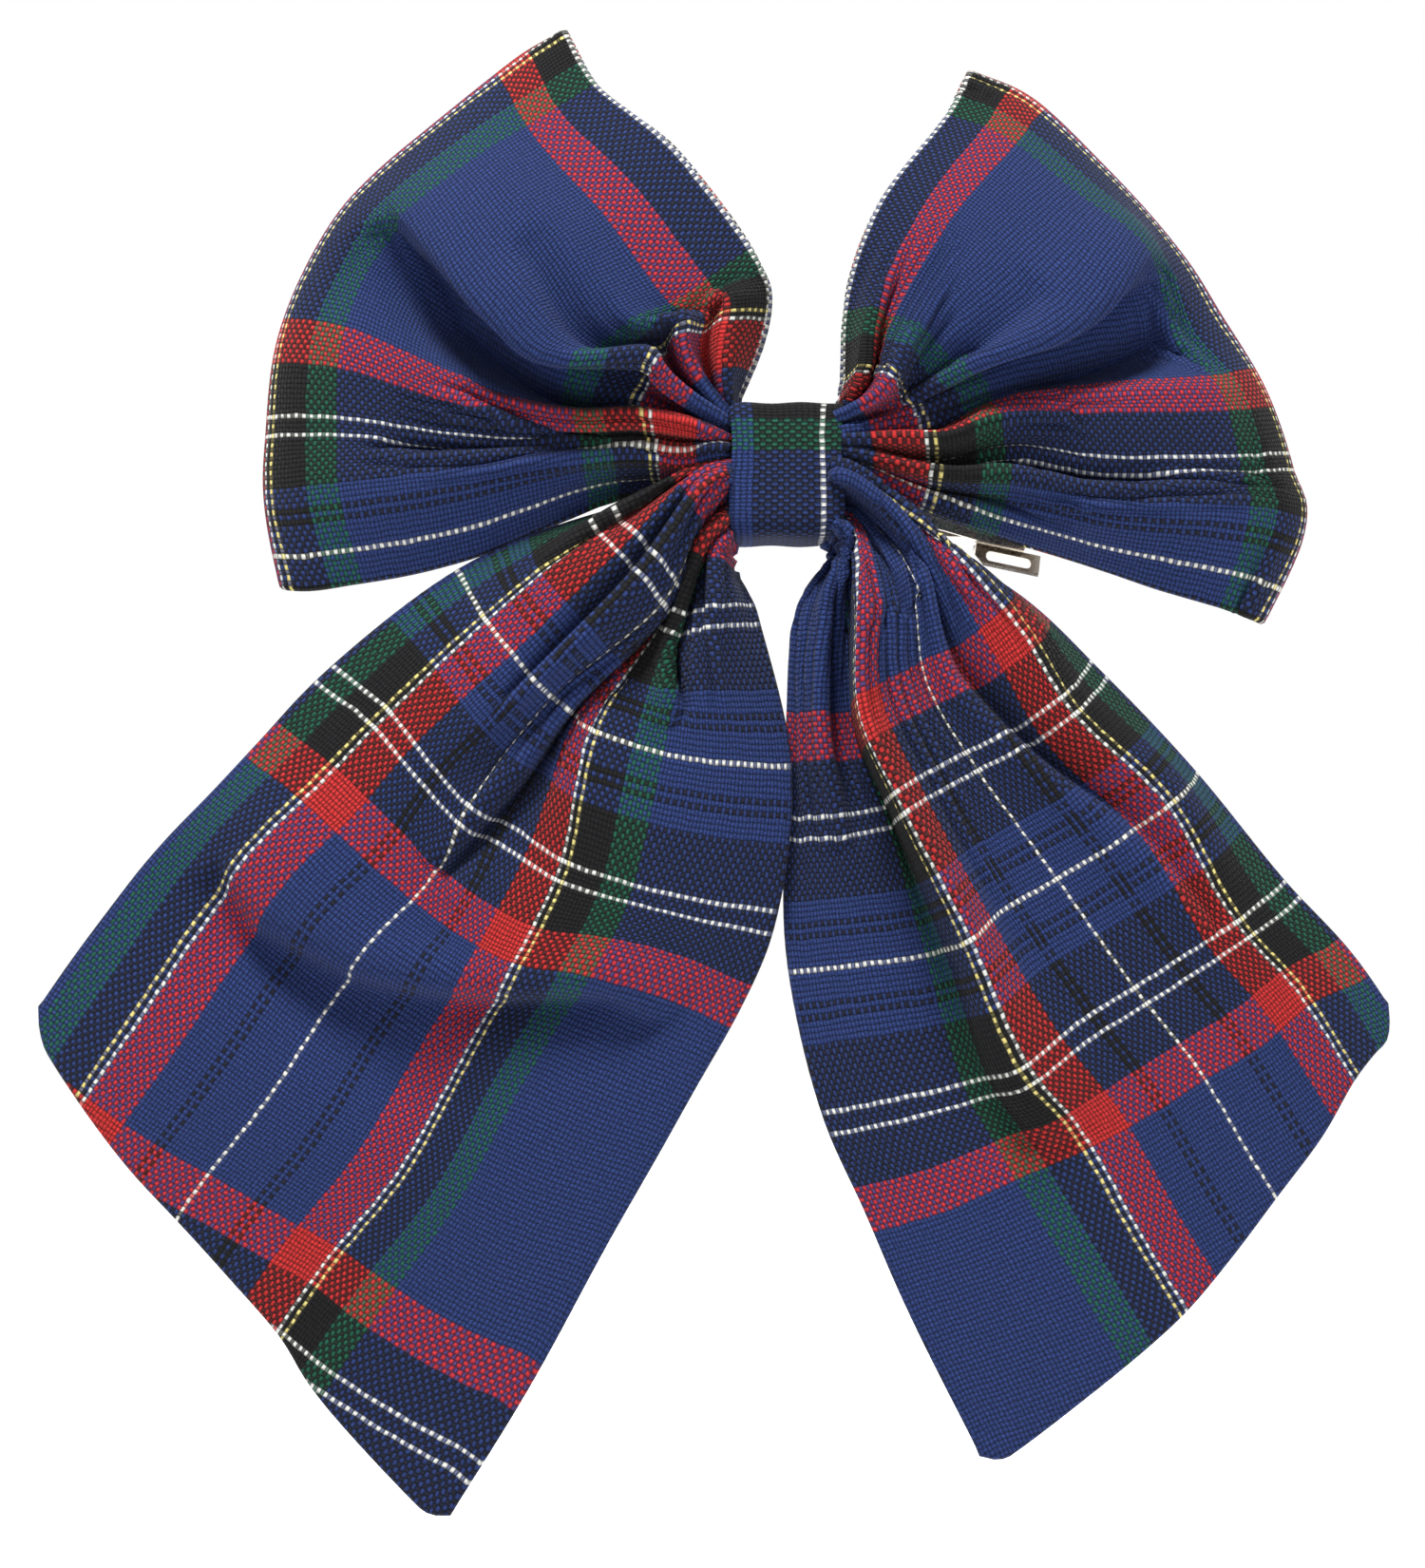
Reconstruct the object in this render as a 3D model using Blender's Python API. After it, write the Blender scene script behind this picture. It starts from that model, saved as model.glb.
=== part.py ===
"""Large tartan hair bow on a French barrette, modelled as it is worn.

Frame: metres, +Z up, the front of the bow faces -Y, and +X is to the right of someone
who looks at that front.
The origin is the middle of the hair clamp, between the tension blade and the lever.
The bow is two double-ply strips, one folded into two loops and one left as two tails.
Each strip is made as a left and a right half that meet under the centre band.
"""

import math

import bmesh
import bpy
from mathutils import Vector

MM = 0.001

# Fabric, in millimetres
PLY = 0.6  # thickness of one ply
PLY_GAP = 0.3  # gap between the two plies of a strip
BOW_OFFSET = (-1.5, 0.0, -2.0)  # from the clamp's middle to the middle of the band
BAND_WIDTH = 17.6
BAND_HEIGHT = 21.6
BAND_THICK = 0.9
BAND_FRONT_Y = -20.4
BAND_BACK_Y = -5.3
BAND_TILT = 3.5  # degrees
BAND_POWER = 6.0  # how square the band's section is
THREAD_RADIUS = 0.35
STITCH_RADIUS = 0.2

# Barrette, in millimetres, along its own length u, back y and width w
BARRETTE_TILT = 12.0  # degrees, right end down
PLATE_LENGTH = 80.0
PLATE_WIDTH = 8.0
PLATE_THICK = 0.8
ARCH_HALF = 31.0  # the plate is arched inside this and flat outside it
ARCH_RISE = 6.3
TAB_BACK_Y = -1.2  # back face of the plate's flat ends
PIN_U = -37.0
PIN_Y = 3.4
PIN_RADIUS = 0.55
PIN_HEAD_RADIUS = 0.95
BORE_RADIUS = 0.75
LEVER_FRONT_Y = 4.2
LEVER_BACK_Y = 5.0
LEVER_HALF_WIDTH = 3.2
LEVER_END = 38.4
KNUCKLE_RADIUS = 1.7
KNUCKLE_HALF_WIDTH = 1.9
BLADE_THICK = 0.4
BLADE_MID_Y = -3.9
BLADE_RISE = 3.6
BLADE_START = -34.6
BLADE_END = 26.0
BLADE_HALF_WIDTH = 2.95
SADDLE_START = 31.2
SADDLE_END = 39.2
SADDLE_HALF_WIDTH = 3.9
RIVET_U = 35.2
RIVET_RADIUS = 0.8
WING_START = 31.4
WING_END = 42.0
WING_PIVOT_W = 4.5
WING_PIVOT_Y = -0.6

# Control points of the cloth, in millimetres from the middle of the band: (x, y, z).
# A loop's rows run from the waist out over the front, round the outer fold and back
# behind. Its columns run from the top edge to the bottom edge.
WAIST_FRONT = [
    (-0.3, -15.0, 6.4),
    (-0.3, -16.4, 5.0),
    (-0.3, -16.6, 3.4),
    (-0.3, -15.9, 1.8),
    (-0.3, -15.3, 0.2),
]
WAIST_BACK = [
    (-0.3, -12.8, 6.4),
    (-0.3, -11.1, 5.0),
    (-0.3, -10.7, 3.4),
    (-0.3, -10.7, 1.8),
    (-0.3, -10.9, 0.2),
]
LEFT_LOOP = [
    WAIST_FRONT,
    [
        (-8.6, -15.0, 7.4), (-8.6, -16.8, 6.2), (-8.6, -17.3, 4.4),
        (-8.6, -16.2, 2.4), (-8.6, -15.0, 0.6),
    ],
    [
        (-11.4, -15.8, 12.0), (-12.4, -18.2, 9.6), (-12.8, -19.0, 6.0),
        (-13.0, -17.4, 2.6), (-12.8, -15.2, -1.0),
    ],
    [
        (-3.5, -18.0, 22.0), (-16.0, -22.0, 20.0), (-21.0, -22.5, 10.0),
        (-24.0, -20.0, 2.0), (-22.0, -15.0, -6.0),
    ],
    [
        (-8.5, -20.0, 40.0), (-31.0, -25.0, 34.0), (-42.0, -26.0, 19.0),
        (-46.0, -23.0, 1.5), (-40.0, -14.8, -9.6),
    ],
    [
        (-24.0, -17.0, 59.0), (-49.0, -21.0, 46.0), (-65.0, -22.0, 25.5),
        (-69.0, -20.0, 0.3), (-58.0, -14.0, -15.5),
    ],
    [
        (-32.5, -13.5, 67.0), (-57.5, -15.5, 50.5), (-75.5, -16.0, 28.0),
        (-81.0, -15.5, -0.4), (-69.0, -12.8, -19.0),
    ],
    [
        (-34.3, -10.8, 68.5), (-59.4, -11.0, 51.5), (-77.2, -11.0, 28.2),
        (-83.3, -11.0, -0.5), (-71.3, -10.8, -19.4),
    ],
    [
        (-32.5, -8.2, 66.5), (-57.0, -6.8, 50.0), (-75.0, -6.2, 27.6),
        (-80.5, -6.8, -0.4), (-69.0, -8.8, -18.4),
    ],
    [
        (-23.0, -7.0, 57.0), (-48.0, -4.4, 44.5), (-63.0, -4.0, 24.5),
        (-67.0, -4.6, 0.5), (-57.0, -8.4, -14.6),
    ],
    [
        (-9.0, -8.6, 38.0), (-30.0, -6.6, 32.5), (-40.0, -6.4, 18.0),
        (-44.0, -6.8, 2.0), (-39.0, -9.8, -8.4),
    ],
    [
        (-6.0, -10.4, 21.0), (-15.5, -9.4, 18.5), (-20.0, -9.4, 10.0),
        (-22.5, -9.6, 2.6), (-21.5, -10.8, -4.6),
    ],
    [
        (-11.4, -12.2, 11.6), (-12.4, -9.8, 9.4), (-12.8, -9.2, 6.2),
        (-13.0, -9.2, 3.2), (-12.8, -10.6, 0.2),
    ],
    [
        (-8.6, -12.8, 7.4), (-8.6, -10.3, 6.2), (-8.6, -9.5, 4.4),
        (-8.6, -9.5, 2.6), (-8.6, -10.6, 1.0),
    ],
    WAIST_BACK,
]
RIGHT_LOOP = [
    [(-x, y, z) for x, y, z in WAIST_FRONT],
    [(8.6, -15.0, 7.4), (8.6, -16.8, 6.2), (8.6, -17.3, 4.4), (8.6, -16.2, 2.4), (8.6, -15.0, 0.6)],
    [
        (11.4, -15.8, 11.6), (12.4, -18.2, 9.2), (12.8, -19.0, 6.0),
        (13.0, -17.4, 2.6), (12.8, -15.2, -1.2),
    ],
    [
        (9.3, -18.0, 22.0), (17.5, -22.0, 19.5), (21.5, -22.5, 11.0),
        (24.0, -20.0, 3.0), (24.0, -15.0, -7.0),
    ],
    [
        (13.7, -20.0, 39.1), (29.5, -25.0, 32.0), (40.0, -26.0, 17.0),
        (43.0, -23.0, 1.5), (40.0, -14.8, -12.4),
    ],
    [
        (22.0, -17.0, 53.5), (42.5, -21.0, 41.5), (57.0, -22.0, 21.0),
        (64.5, -20.0, -0.8), (55.0, -14.0, -18.6),
    ],
    [
        (27.6, -13.5, 60.8), (50.0, -15.5, 45.2), (66.6, -16.0, 23.0),
        (77.6, -15.5, -2.3), (69.5, -12.8, -24.6),
    ],
    [
        (29.0, -10.8, 62.2), (51.5, -11.0, 46.0), (68.5, -11.0, 23.3),
        (80.2, -11.0, -2.5), (71.9, -10.8, -25.5),
    ],
    [
        (27.5, -8.2, 60.4), (49.5, -6.8, 44.6), (66.3, -6.2, 22.6),
        (77.2, -6.8, -2.3), (69.4, -8.8, -24.0),
    ],
    [
        (21.0, -7.0, 51.8), (41.5, -4.4, 40.2), (55.5, -4.6, 20.2),
        (62.5, -5.2, -0.8), (54.0, -8.4, -17.6),
    ],
    [
        (12.8, -8.6, 37.4), (28.5, -7.0, 30.8), (38.0, -6.8, 16.2),
        (41.0, -7.4, 1.5), (38.5, -9.8, -11.0),
    ],
    [
        (8.6, -10.4, 21.0), (16.5, -9.4, 18.2), (20.5, -9.4, 10.6),
        (22.5, -9.6, 3.4), (22.5, -10.8, -5.6),
    ],
    [
        (11.4, -12.2, 11.2), (12.4, -9.8, 9.0), (12.8, -9.2, 6.2),
        (13.0, -9.2, 3.2), (12.8, -10.6, 0.0),
    ],
    [(8.6, -12.8, 7.4), (8.6, -10.3, 6.2), (8.6, -9.5, 4.4), (8.6, -9.5, 2.6), (8.6, -10.6, 1.0)],
    [(-x, y, z) for x, y, z in WAIST_BACK],
]
# A tail's rows run from the waist down to its slanting end, and its columns from the
# outer edge to the inner edge.
LEFT_TAIL = [
    [
        (-0.3, -17.2, 0.2), (-0.3, -17.2, -1.6), (-0.3, -17.0, -3.4),
        (-0.3, -16.2, -5.0), (-0.3, -14.9, -6.4),
    ],
    [
        (-8.6, -17.9, 0.6), (-8.6, -18.1, -1.6), (-8.6, -17.6, -3.9),
        (-8.6, -16.4, -5.6), (-8.6, -14.4, -6.9),
    ],
    [
        (-14.0, -18.8, 0.0), (-13.6, -19.2, -3.4), (-12.6, -18.2, -7.0),
        (-11.4, -17.0, -9.4), (-10.4, -14.6, -11.6),
    ],
    [
        (-34.0, -19.0, -8.6), (-30.0, -20.0, -17.0), (-22.0, -17.0, -23.0),
        (-11.5, -18.0, -26.0), (-3.4, -14.5, -26.0),
    ],
    [
        (-64.0, -14.5, -23.0), (-53.0, -16.0, -37.0), (-38.0, -13.0, -47.0),
        (-18.0, -14.0, -52.0), (-1.4, -13.5, -52.0),
    ],
    [
        (-89.0, -10.5, -50.0), (-72.0, -12.0, -62.0), (-52.0, -10.0, -73.0),
        (-29.0, -11.0, -80.0), (-5.5, -11.0, -80.0),
    ],
    [
        (-108.0, -9.0, -71.0), (-90.0, -9.5, -85.0), (-70.0, -9.0, -98.0),
        (-47.0, -9.0, -108.0), (-24.0, -9.0, -114.0),
    ],
    [
        (-118.5, -7.5, -88.0), (-102.5, -7.5, -107.0), (-86.0, -7.5, -126.5),
        (-69.5, -7.5, -146.0), (-52.4, -7.5, -165.0),
    ],
]
RIGHT_TAIL = [
    [(-x, y, z) for x, y, z in LEFT_TAIL[0]],
    [(-x, y, z) for x, y, z in LEFT_TAIL[1]],
    [(-x, y, z) for x, y, z in LEFT_TAIL[2]],
    [
        (31.6, -19.0, -17.2), (26.0, -20.0, -24.0), (17.0, -17.0, -30.0),
        (7.0, -18.0, -35.0), (1.2, -12.5, -37.0),
    ],
    [
        (59.0, -14.0, -43.0), (45.0, -15.0, -53.0), (30.0, -12.0, -62.0),
        (14.0, -14.0, -71.0), (1.2, -9.5, -75.0),
    ],
    [
        (84.0, -10.0, -72.5), (67.0, -11.0, -85.0), (49.0, -10.0, -98.0),
        (31.0, -11.0, -111.0), (14.5, -9.0, -121.0),
    ],
    [
        (92.5, -7.5, -86.7), (77.5, -7.5, -105.0), (62.0, -7.5, -124.0),
        (47.0, -7.5, -142.0), (32.0, -7.5, -157.4),
    ],
]

ROUND_SIDES = 16


def clear_scene():
    for obj in list(bpy.data.objects):
        bpy.data.objects.remove(obj, do_unlink=True)


def material(name, color, roughness, metallic=0.0):
    mat = bpy.data.materials.new(name)
    mat.use_nodes = True
    shader = mat.node_tree.nodes["Principled BSDF"]
    shader.inputs["Base Color"].default_value = (*color, 1.0)
    shader.inputs["Roughness"].default_value = roughness
    shader.inputs["Metallic"].default_value = metallic
    return mat


def empty(name, location=(0.0, 0.0, 0.0), tilt=0.0):
    obj = bpy.data.objects.new(name, None)
    obj.location = location
    obj.rotation_euler = (0.0, math.radians(tilt), 0.0)
    bpy.context.collection.objects.link(obj)
    return obj


def mesh_object(name, points_mm, faces, mat=None, parent=None, origin=(0.0, 0.0, 0.0)):
    """A mesh object with its origin at a point given in its parent's frame, in millimetres."""
    mesh = bpy.data.meshes.new(name)
    start = Vector(origin)
    mesh.from_pydata([(Vector(p) - start) * MM for p in points_mm], [], faces)
    bm = bmesh.new()
    bm.from_mesh(mesh)
    bmesh.ops.recalc_face_normals(bm, faces=bm.faces)
    bm.to_mesh(mesh)
    bm.free()
    obj = bpy.data.objects.new(name, mesh)
    obj.location = start * MM
    obj.parent = parent
    if mat:
        mesh.materials.append(mat)
    bpy.context.collection.objects.link(obj)
    return obj


def extruded(name, outline, low, high, along, mat=None, parent=None, origin=(0.0, 0.0, 0.0)):
    """A prism. The outline's two coordinates fill the axes other than along, in x, y, z order."""

    def place(point, depth):
        coords = list(point)
        coords.insert("xyz".index(along), depth)
        return coords

    count = len(outline)
    points = [place(p, low) for p in outline] + [place(p, high) for p in outline]
    faces = [list(range(count)), list(range(2 * count - 1, count - 1, -1))]
    for i in range(count):
        j = (i + 1) % count
        faces.append([i, j, j + count, i + count])
    return mesh_object(name, points, faces, mat, parent, origin)


def boolean(target, tool, operation):
    """Cuts or joins with a tool object, which stays in the file as a wire guide."""
    modifier = target.modifiers.new(tool.name, "BOOLEAN")
    modifier.operation = operation
    modifier.solver = "EXACT"
    modifier.object = tool
    tool.hide_render = True
    tool.display_type = "WIRE"


def circle(centre, radius, sides=ROUND_SIDES, start=0.0, sweep=360.0):
    """Points round a circle or an arc, counter-clockwise, with both ends of an arc."""
    steps = sides if sweep == 360.0 else sides + 1
    angles = [math.radians(start + sweep * i / sides) for i in range(steps)]
    return [(centre[0] + radius * math.cos(a), centre[1] + radius * math.sin(a)) for a in angles]


def rounded_box(low, high, radius, sides=4):
    """A rectangle with round corners."""
    corners = [
        ((high[0] - radius, high[1] - radius), 0.0),
        ((low[0] + radius, high[1] - radius), 90.0),
        ((low[0] + radius, low[1] + radius), 180.0),
        ((high[0] - radius, low[1] + radius), 270.0),
    ]
    return [p for centre, start in corners for p in circle(centre, radius, sides, start, 90.0)]


def link_outline(big, big_radius, small, small_radius, sides=6):
    """The outline round two circles and the straight sides that touch both."""
    gap = Vector(small) - Vector(big)
    heading = math.degrees(math.atan2(gap.y, gap.x))
    spread = math.degrees(math.acos((big_radius - small_radius) / gap.length))
    far = circle(big, big_radius, sides * 2, heading + spread, 360.0 - 2.0 * spread)
    near = circle(small, small_radius, sides, heading - spread, 2.0 * spread)
    return far + near


def superellipse(half_width, half_height, power, sides):
    points = []
    for i in range(sides):
        angle = 2.0 * math.pi * i / sides
        c, s = math.cos(angle), math.sin(angle)
        reach = (abs(c) ** power + abs(s) ** power) ** (-1.0 / power)
        points.append((half_width * reach * c, half_height * reach * s))
    return points


# Cloth


def spline_point(before, start, end, after, t):
    """A Catmull-Rom point between start and end."""
    a = 2.0 * start
    b = end - before
    c = 2.0 * before - 5.0 * start + 4.0 * end - after
    d = 3.0 * start - before - 3.0 * end + after
    return 0.5 * (a + b * t + c * t * t + d * t * t * t)


def refined(line, steps):
    """A row of control points with steps spans between each two."""
    ends = [2.0 * line[0] - line[1]] + line + [2.0 * line[-1] - line[-2]]
    fine = []
    for i in range(len(line) - 1):
        for k in range(steps):
            fine.append(spline_point(*ends[i : i + 4], k / steps))
    return fine + [line[-1]]


def smooth_grid(net, row_steps, column_steps):
    rows = [refined([Vector(p) for p in row], column_steps) for row in net]
    columns = [refined([row[j] for row in rows], row_steps) for j in range(len(rows[0]))]
    return [[column[i] for column in columns] for i in range(len(columns[0]))]


def grid_normals(grid):
    """Unit normals of a grid, along rows cross columns."""
    last_row, last_column = len(grid) - 1, len(grid[0]) - 1
    normals = []
    for i in range(last_row + 1):
        row = []
        for j in range(last_column + 1):
            down = grid[min(i + 1, last_row)][j] - grid[max(i - 1, 0)][j]
            across = grid[i][min(j + 1, last_column)] - grid[i][max(j - 1, 0)]
            row.append(down.cross(across).normalized())
        normals.append(row)
    return normals


def ply(name, grid, inner, outer, mat, parent):
    """A closed sheet between two offsets from a grid, along the grid's normals."""
    normals = grid_normals(grid)
    rows, columns = len(grid), len(grid[0])
    points = []
    for offset in (inner, outer):
        points += [grid[i][j] + normals[i][j] * offset for i in range(rows) for j in range(columns)]
    back = rows * columns
    faces = []
    for i in range(rows - 1):
        for j in range(columns - 1):
            a = i * columns + j
            quad = [a, a + 1, a + 1 + columns, a + columns]
            faces.append(quad)
            faces.append([k + back for k in reversed(quad)])
    rim = list(range(columns))
    rim += [i * columns + columns - 1 for i in range(1, rows)]
    rim += [(rows - 1) * columns + j for j in range(columns - 2, -1, -1)]
    rim += [i * columns for i in range(rows - 2, 0, -1)]
    for k, a in enumerate(rim):
        b = rim[(k + 1) % len(rim)]
        faces.append([a, b, b + back, a + back])
    obj = mesh_object(name, points, faces, mat, parent)
    obj.data.shade_smooth()
    obj.data.set_sharp_from_angle(angle=math.radians(50.0))
    return obj


def strip_half(name, net, row_steps, column_steps, face_side, mats, parent):
    """The face and the lining of half a strip. face_side is the sign of the normal that shows."""
    grid = smooth_grid(net, row_steps, column_steps)
    near, far = PLY_GAP / 2.0, PLY_GAP / 2.0 + PLY
    ply(f"{name}_face", grid, face_side * near, face_side * far, mats["tartan"], parent)
    ply(f"{name}_lining", grid, -face_side * near, -face_side * far, mats["tartan"], parent)


def make_centre_band(mat, parent):
    """The band's closed ring, from superellipses round the bundle and the base plate."""
    sides = 32
    middle_y = (BAND_FRONT_Y + BAND_BACK_Y) / 2.0
    half_depth = (BAND_BACK_Y - BAND_FRONT_Y) / 2.0
    half_width = BAND_WIDTH / 2.0
    rings = []
    for shrink in (0.0, BAND_THICK):
        section = superellipse(half_depth - shrink, BAND_HEIGHT / 2.0 - shrink, BAND_POWER, sides)
        rings += [[(x, middle_y + y, z) for y, z in section] for x in (-half_width, half_width)]
    points = [p for ring in rings for p in ring]
    faces = []
    for first, second in ((0, 1), (1, 3), (3, 2), (2, 0)):
        for i in range(sides):
            j = (i + 1) % sides
            a, b = first * sides, second * sides
            faces.append([a + i, a + j, b + j, b + i])
    band = mesh_object("centre_band", points, faces, mat, parent)
    band.data.shade_smooth()
    band.data.set_sharp_from_angle(angle=math.radians(40.0))


def thread(name, path, radius, mat, parent, sides=6):
    """A closed round tube along a path, with flat ends. No stretch of it runs along Y."""
    points, faces = [], []
    last = len(path) - 1
    for i, place in enumerate(path):
        along = (path[min(i + 1, last)] - path[max(i - 1, 0)]).normalized()
        side = along.cross(Vector((0.31, 0.95, 0.05))).normalized()
        out = side.cross(along)
        for k in range(sides):
            angle = 2.0 * math.pi * k / sides
            points.append(place + (side * math.cos(angle) + out * math.sin(angle)) * radius)
    for i in range(last):
        for k in range(sides):
            m = (k + 1) % sides
            a, b = i * sides, (i + 1) * sides
            faces.append([a + k, a + m, b + m, b + k])
    faces.append(list(range(sides)))
    faces.append([last * sides + k for k in range(sides)])
    mesh_object(name, points, faces, mat, parent)


def make_gather_thread(mat, parent):
    """A thread wound twice round the waist of the bow, inside the band."""
    sides, turns = 22, 2
    section = superellipse(4.85, 8.4, 3.0, sides)
    path = []
    for i in range(sides * turns + 1):
        y, z = section[i % sides]
        path.append(Vector((-0.9 + 1.8 * i / (sides * turns), -14.0 + y, z)))
    thread("gather_thread", path, THREAD_RADIUS, mat, parent)


def make_band_stitches(mat, parent):
    """The overcast thread that closes the band behind the base plate, in one zigzag."""
    y = BAND_BACK_Y + 0.35 + STITCH_RADIUS
    path = []
    for step in range(7):
        side = -1.0 if step % 2 else 1.0
        path.append(Vector((1.5 * side, y, -4.8 + 1.6 * step)))
    thread("band_stitches", path, STITCH_RADIUS, mat, parent)


# Barrette. The outlines are (u, y), (u, w) or (y, w), in millimetres.


def arch_y(u, tab_y, rise):
    """Depth of an arched strip at u, for one whose ends lie at tab_y."""
    return tab_y - rise * (1.0 - min(abs(u) / ARCH_HALF, 1.0) ** 2)


def make_base_plate(mat, frame):
    steps = 24
    arch = [-ARCH_HALF + 2.0 * ARCH_HALF * i / steps for i in range(steps + 1)]
    stations = [-PLATE_LENGTH / 2.0] + arch + [PLATE_LENGTH / 2.0]
    back = [(u, arch_y(u, TAB_BACK_Y, ARCH_RISE)) for u in stations]
    front = [(u, y - PLATE_THICK) for u, y in reversed(back)]
    half = PLATE_WIDTH / 2.0
    plate = extruded("base_plate", back + front, -half, half, "z", mat, frame)
    plan_corner = (PLATE_LENGTH / 2.0 + 0.01, half + 0.01)
    plan = rounded_box((-plan_corner[0], -plan_corner[1]), plan_corner, 2.0)
    trim = extruded("guide_plate_plan", plan, -12.0, 2.0, "y", parent=frame)
    boolean(plate, trim, "INTERSECT")
    for side in (-1, 1):
        inner, outer = sorted((side * 3.3, side * 3.999))
        top = circle((PIN_U, PIN_Y), 1.8, 8, 0.0, 180.0)
        ear_outline = [(PIN_U - 1.8, TAB_BACK_Y - 0.4), (PIN_U + 1.8, TAB_BACK_Y - 0.4)] + top
        ear = extruded(f"guide_ear_{side}", ear_outline, inner, outer, "z", parent=frame)
        boolean(plate, ear, "UNION")
    bore = extruded("guide_ear_bore", circle((PIN_U, PIN_Y), BORE_RADIUS), -6.0, 6.0, "z", parent=frame)
    boolean(plate, bore, "DIFFERENCE")
    holes = (("left_sewing", -31.5, 1.2), ("right_sewing", 27.5, 1.2), ("rivet", RIVET_U, 1.1))
    for name, u, radius in holes:
        hole = extruded(f"guide_{name}_hole", circle((u, 0.0), radius), -12.0, 2.0, "y", parent=frame)
        boolean(plate, hole, "DIFFERENCE")


def turned(name, profile, centre, along, mat, parent, origin=(0.0, 0.0, 0.0)):
    """A solid spun from (radius, place) pairs round a line through centre, along "y" or "z"."""
    points, faces = [], []
    for radius, place in profile:
        for first, second in circle(centre, radius):
            points.append((first, second, place) if along == "z" else (first, place, second))
    for ring in range(len(profile) - 1):
        a, b = ring * ROUND_SIDES, (ring + 1) * ROUND_SIDES
        for i in range(ROUND_SIDES):
            j = (i + 1) % ROUND_SIDES
            faces.append([a + i, a + j, b + j, b + i])
    last = (len(profile) - 1) * ROUND_SIDES
    faces.append(list(reversed(range(ROUND_SIDES))))
    faces.append([last + i for i in range(ROUND_SIDES)])
    return mesh_object(name, points, faces, mat, parent, origin)


def make_hinge_pin(mat, frame):
    """The pin, with a flattened head outside each ear."""
    profile = [
        (PIN_HEAD_RADIUS, -4.9),
        (PIN_HEAD_RADIUS, -4.35),
        (PIN_RADIUS, -4.35),
        (PIN_RADIUS, 4.35),
        (PIN_HEAD_RADIUS, 4.35),
        (PIN_HEAD_RADIUS, 4.9),
    ]
    turned("hinge_pin", profile, (PIN_U, PIN_Y), "z", mat, frame, (PIN_U, PIN_Y, 0.0))


def make_lever(mat, frame):
    """The locking lever, a flat strip with a rolled knuckle at the pin and a round tongue."""
    neck, full, tongue = KNUCKLE_HALF_WIDTH, LEVER_HALF_WIDTH, 2.6
    upper = [(PIN_U, neck), (-33.0, neck), (-30.0, full), (27.0, full), (30.0, tongue)]
    tip = circle((LEVER_END - tongue, 0.0), tongue, 8, 90.0, -180.0)
    lower = [(u, -w) for u, w in reversed(upper)]
    pivot = (PIN_U, PIN_Y, 0.0)
    lever = extruded("lever", upper + tip + lower, LEVER_FRONT_Y, LEVER_BACK_Y, "y", mat, frame, pivot)
    knuckle_outline = circle((PIN_U, PIN_Y), KNUCKLE_RADIUS)
    knuckle = extruded("guide_lever_knuckle", knuckle_outline, -neck, neck, "z", parent=frame)
    bore = extruded("guide_lever_bore", circle((PIN_U, PIN_Y), BORE_RADIUS), -6.0, 6.0, "z", parent=frame)
    slot_plan = rounded_box((30.5, -0.8), (35.0, 0.8), 0.79)
    slot = extruded("guide_lever_slot", slot_plan, 3.0, 6.0, "y", parent=frame)
    boolean(lever, knuckle, "UNION")
    boolean(lever, bore, "DIFFERENCE")
    boolean(lever, slot, "DIFFERENCE")


def make_tension_blade(mat, frame):
    """The thin spring strip, forked round the lever's knuckle and held on the same pin."""
    steps = 18
    stations = [BLADE_START + (BLADE_END - BLADE_START) * i / steps for i in range(steps + 1)]
    middle = [(u, BLADE_MID_Y + BLADE_RISE * (u / ARCH_HALF) ** 2) for u in stations]
    back = [(u, y + BLADE_THICK / 2.0) for u, y in middle]
    front = [(u, y - BLADE_THICK / 2.0) for u, y in reversed(middle)]
    half = BLADE_HALF_WIDTH
    pivot = (PIN_U, PIN_Y, 0.0)
    blade = extruded("tension_blade", back + front, -half, half, "z", mat, frame, pivot)
    for side in (-1, 1):
        low, high = sorted((side * 2.25, side * (half - 0.001)))
        arm_outline = link_outline((PIN_U, PIN_Y), 1.35, (middle[0][0] + 0.6, middle[0][1] + 0.2), 0.55)
        arm = extruded(f"guide_blade_arm_{side}", arm_outline, low, high, "z", parent=frame)
        boolean(blade, arm, "UNION")
    bore = extruded("guide_blade_bore", circle((PIN_U, PIN_Y), BORE_RADIUS), -6.0, 6.0, "z", parent=frame)
    boolean(blade, bore, "DIFFERENCE")


def make_clasp_saddle(mat, frame):
    """The clasp's base, a shallow channel riveted to the plate's right end."""
    half, wall, floor, top = SADDLE_HALF_WIDTH, 0.6, 0.6, 1.3
    low = TAB_BACK_Y + 0.3
    section = [
        (low, -half),
        (top, -half),
        (top, -half + wall),
        (low + floor, -half + wall),
        (low + floor, half - wall),
        (top, half - wall),
        (top, half),
        (low, half),
    ]
    saddle = extruded("clasp_saddle", section, SADDLE_START, SADDLE_END, "x", mat, frame)
    hole = extruded("guide_saddle_hole", circle((RIVET_U, 0.0), 1.1), -3.0, 3.0, "y", parent=frame)
    boolean(saddle, hole, "DIFFERENCE")


def make_clasp_rivet(mat, frame):
    """The rivet, with a domed head in front of the plate and one inside the saddle."""
    front, back = TAB_BACK_Y - PLATE_THICK, TAB_BACK_Y + 0.9
    profile = [
        (1.3, front - 0.8),
        (1.7, front - 0.3),
        (RIVET_RADIUS, front - 0.3),
        (RIVET_RADIUS, back + 0.3),
        (1.7, back + 0.3),
        (1.3, back + 0.8),
    ]
    turned("clasp_rivet", profile, (RIVET_U, 0.0), "y", mat, frame)


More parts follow.
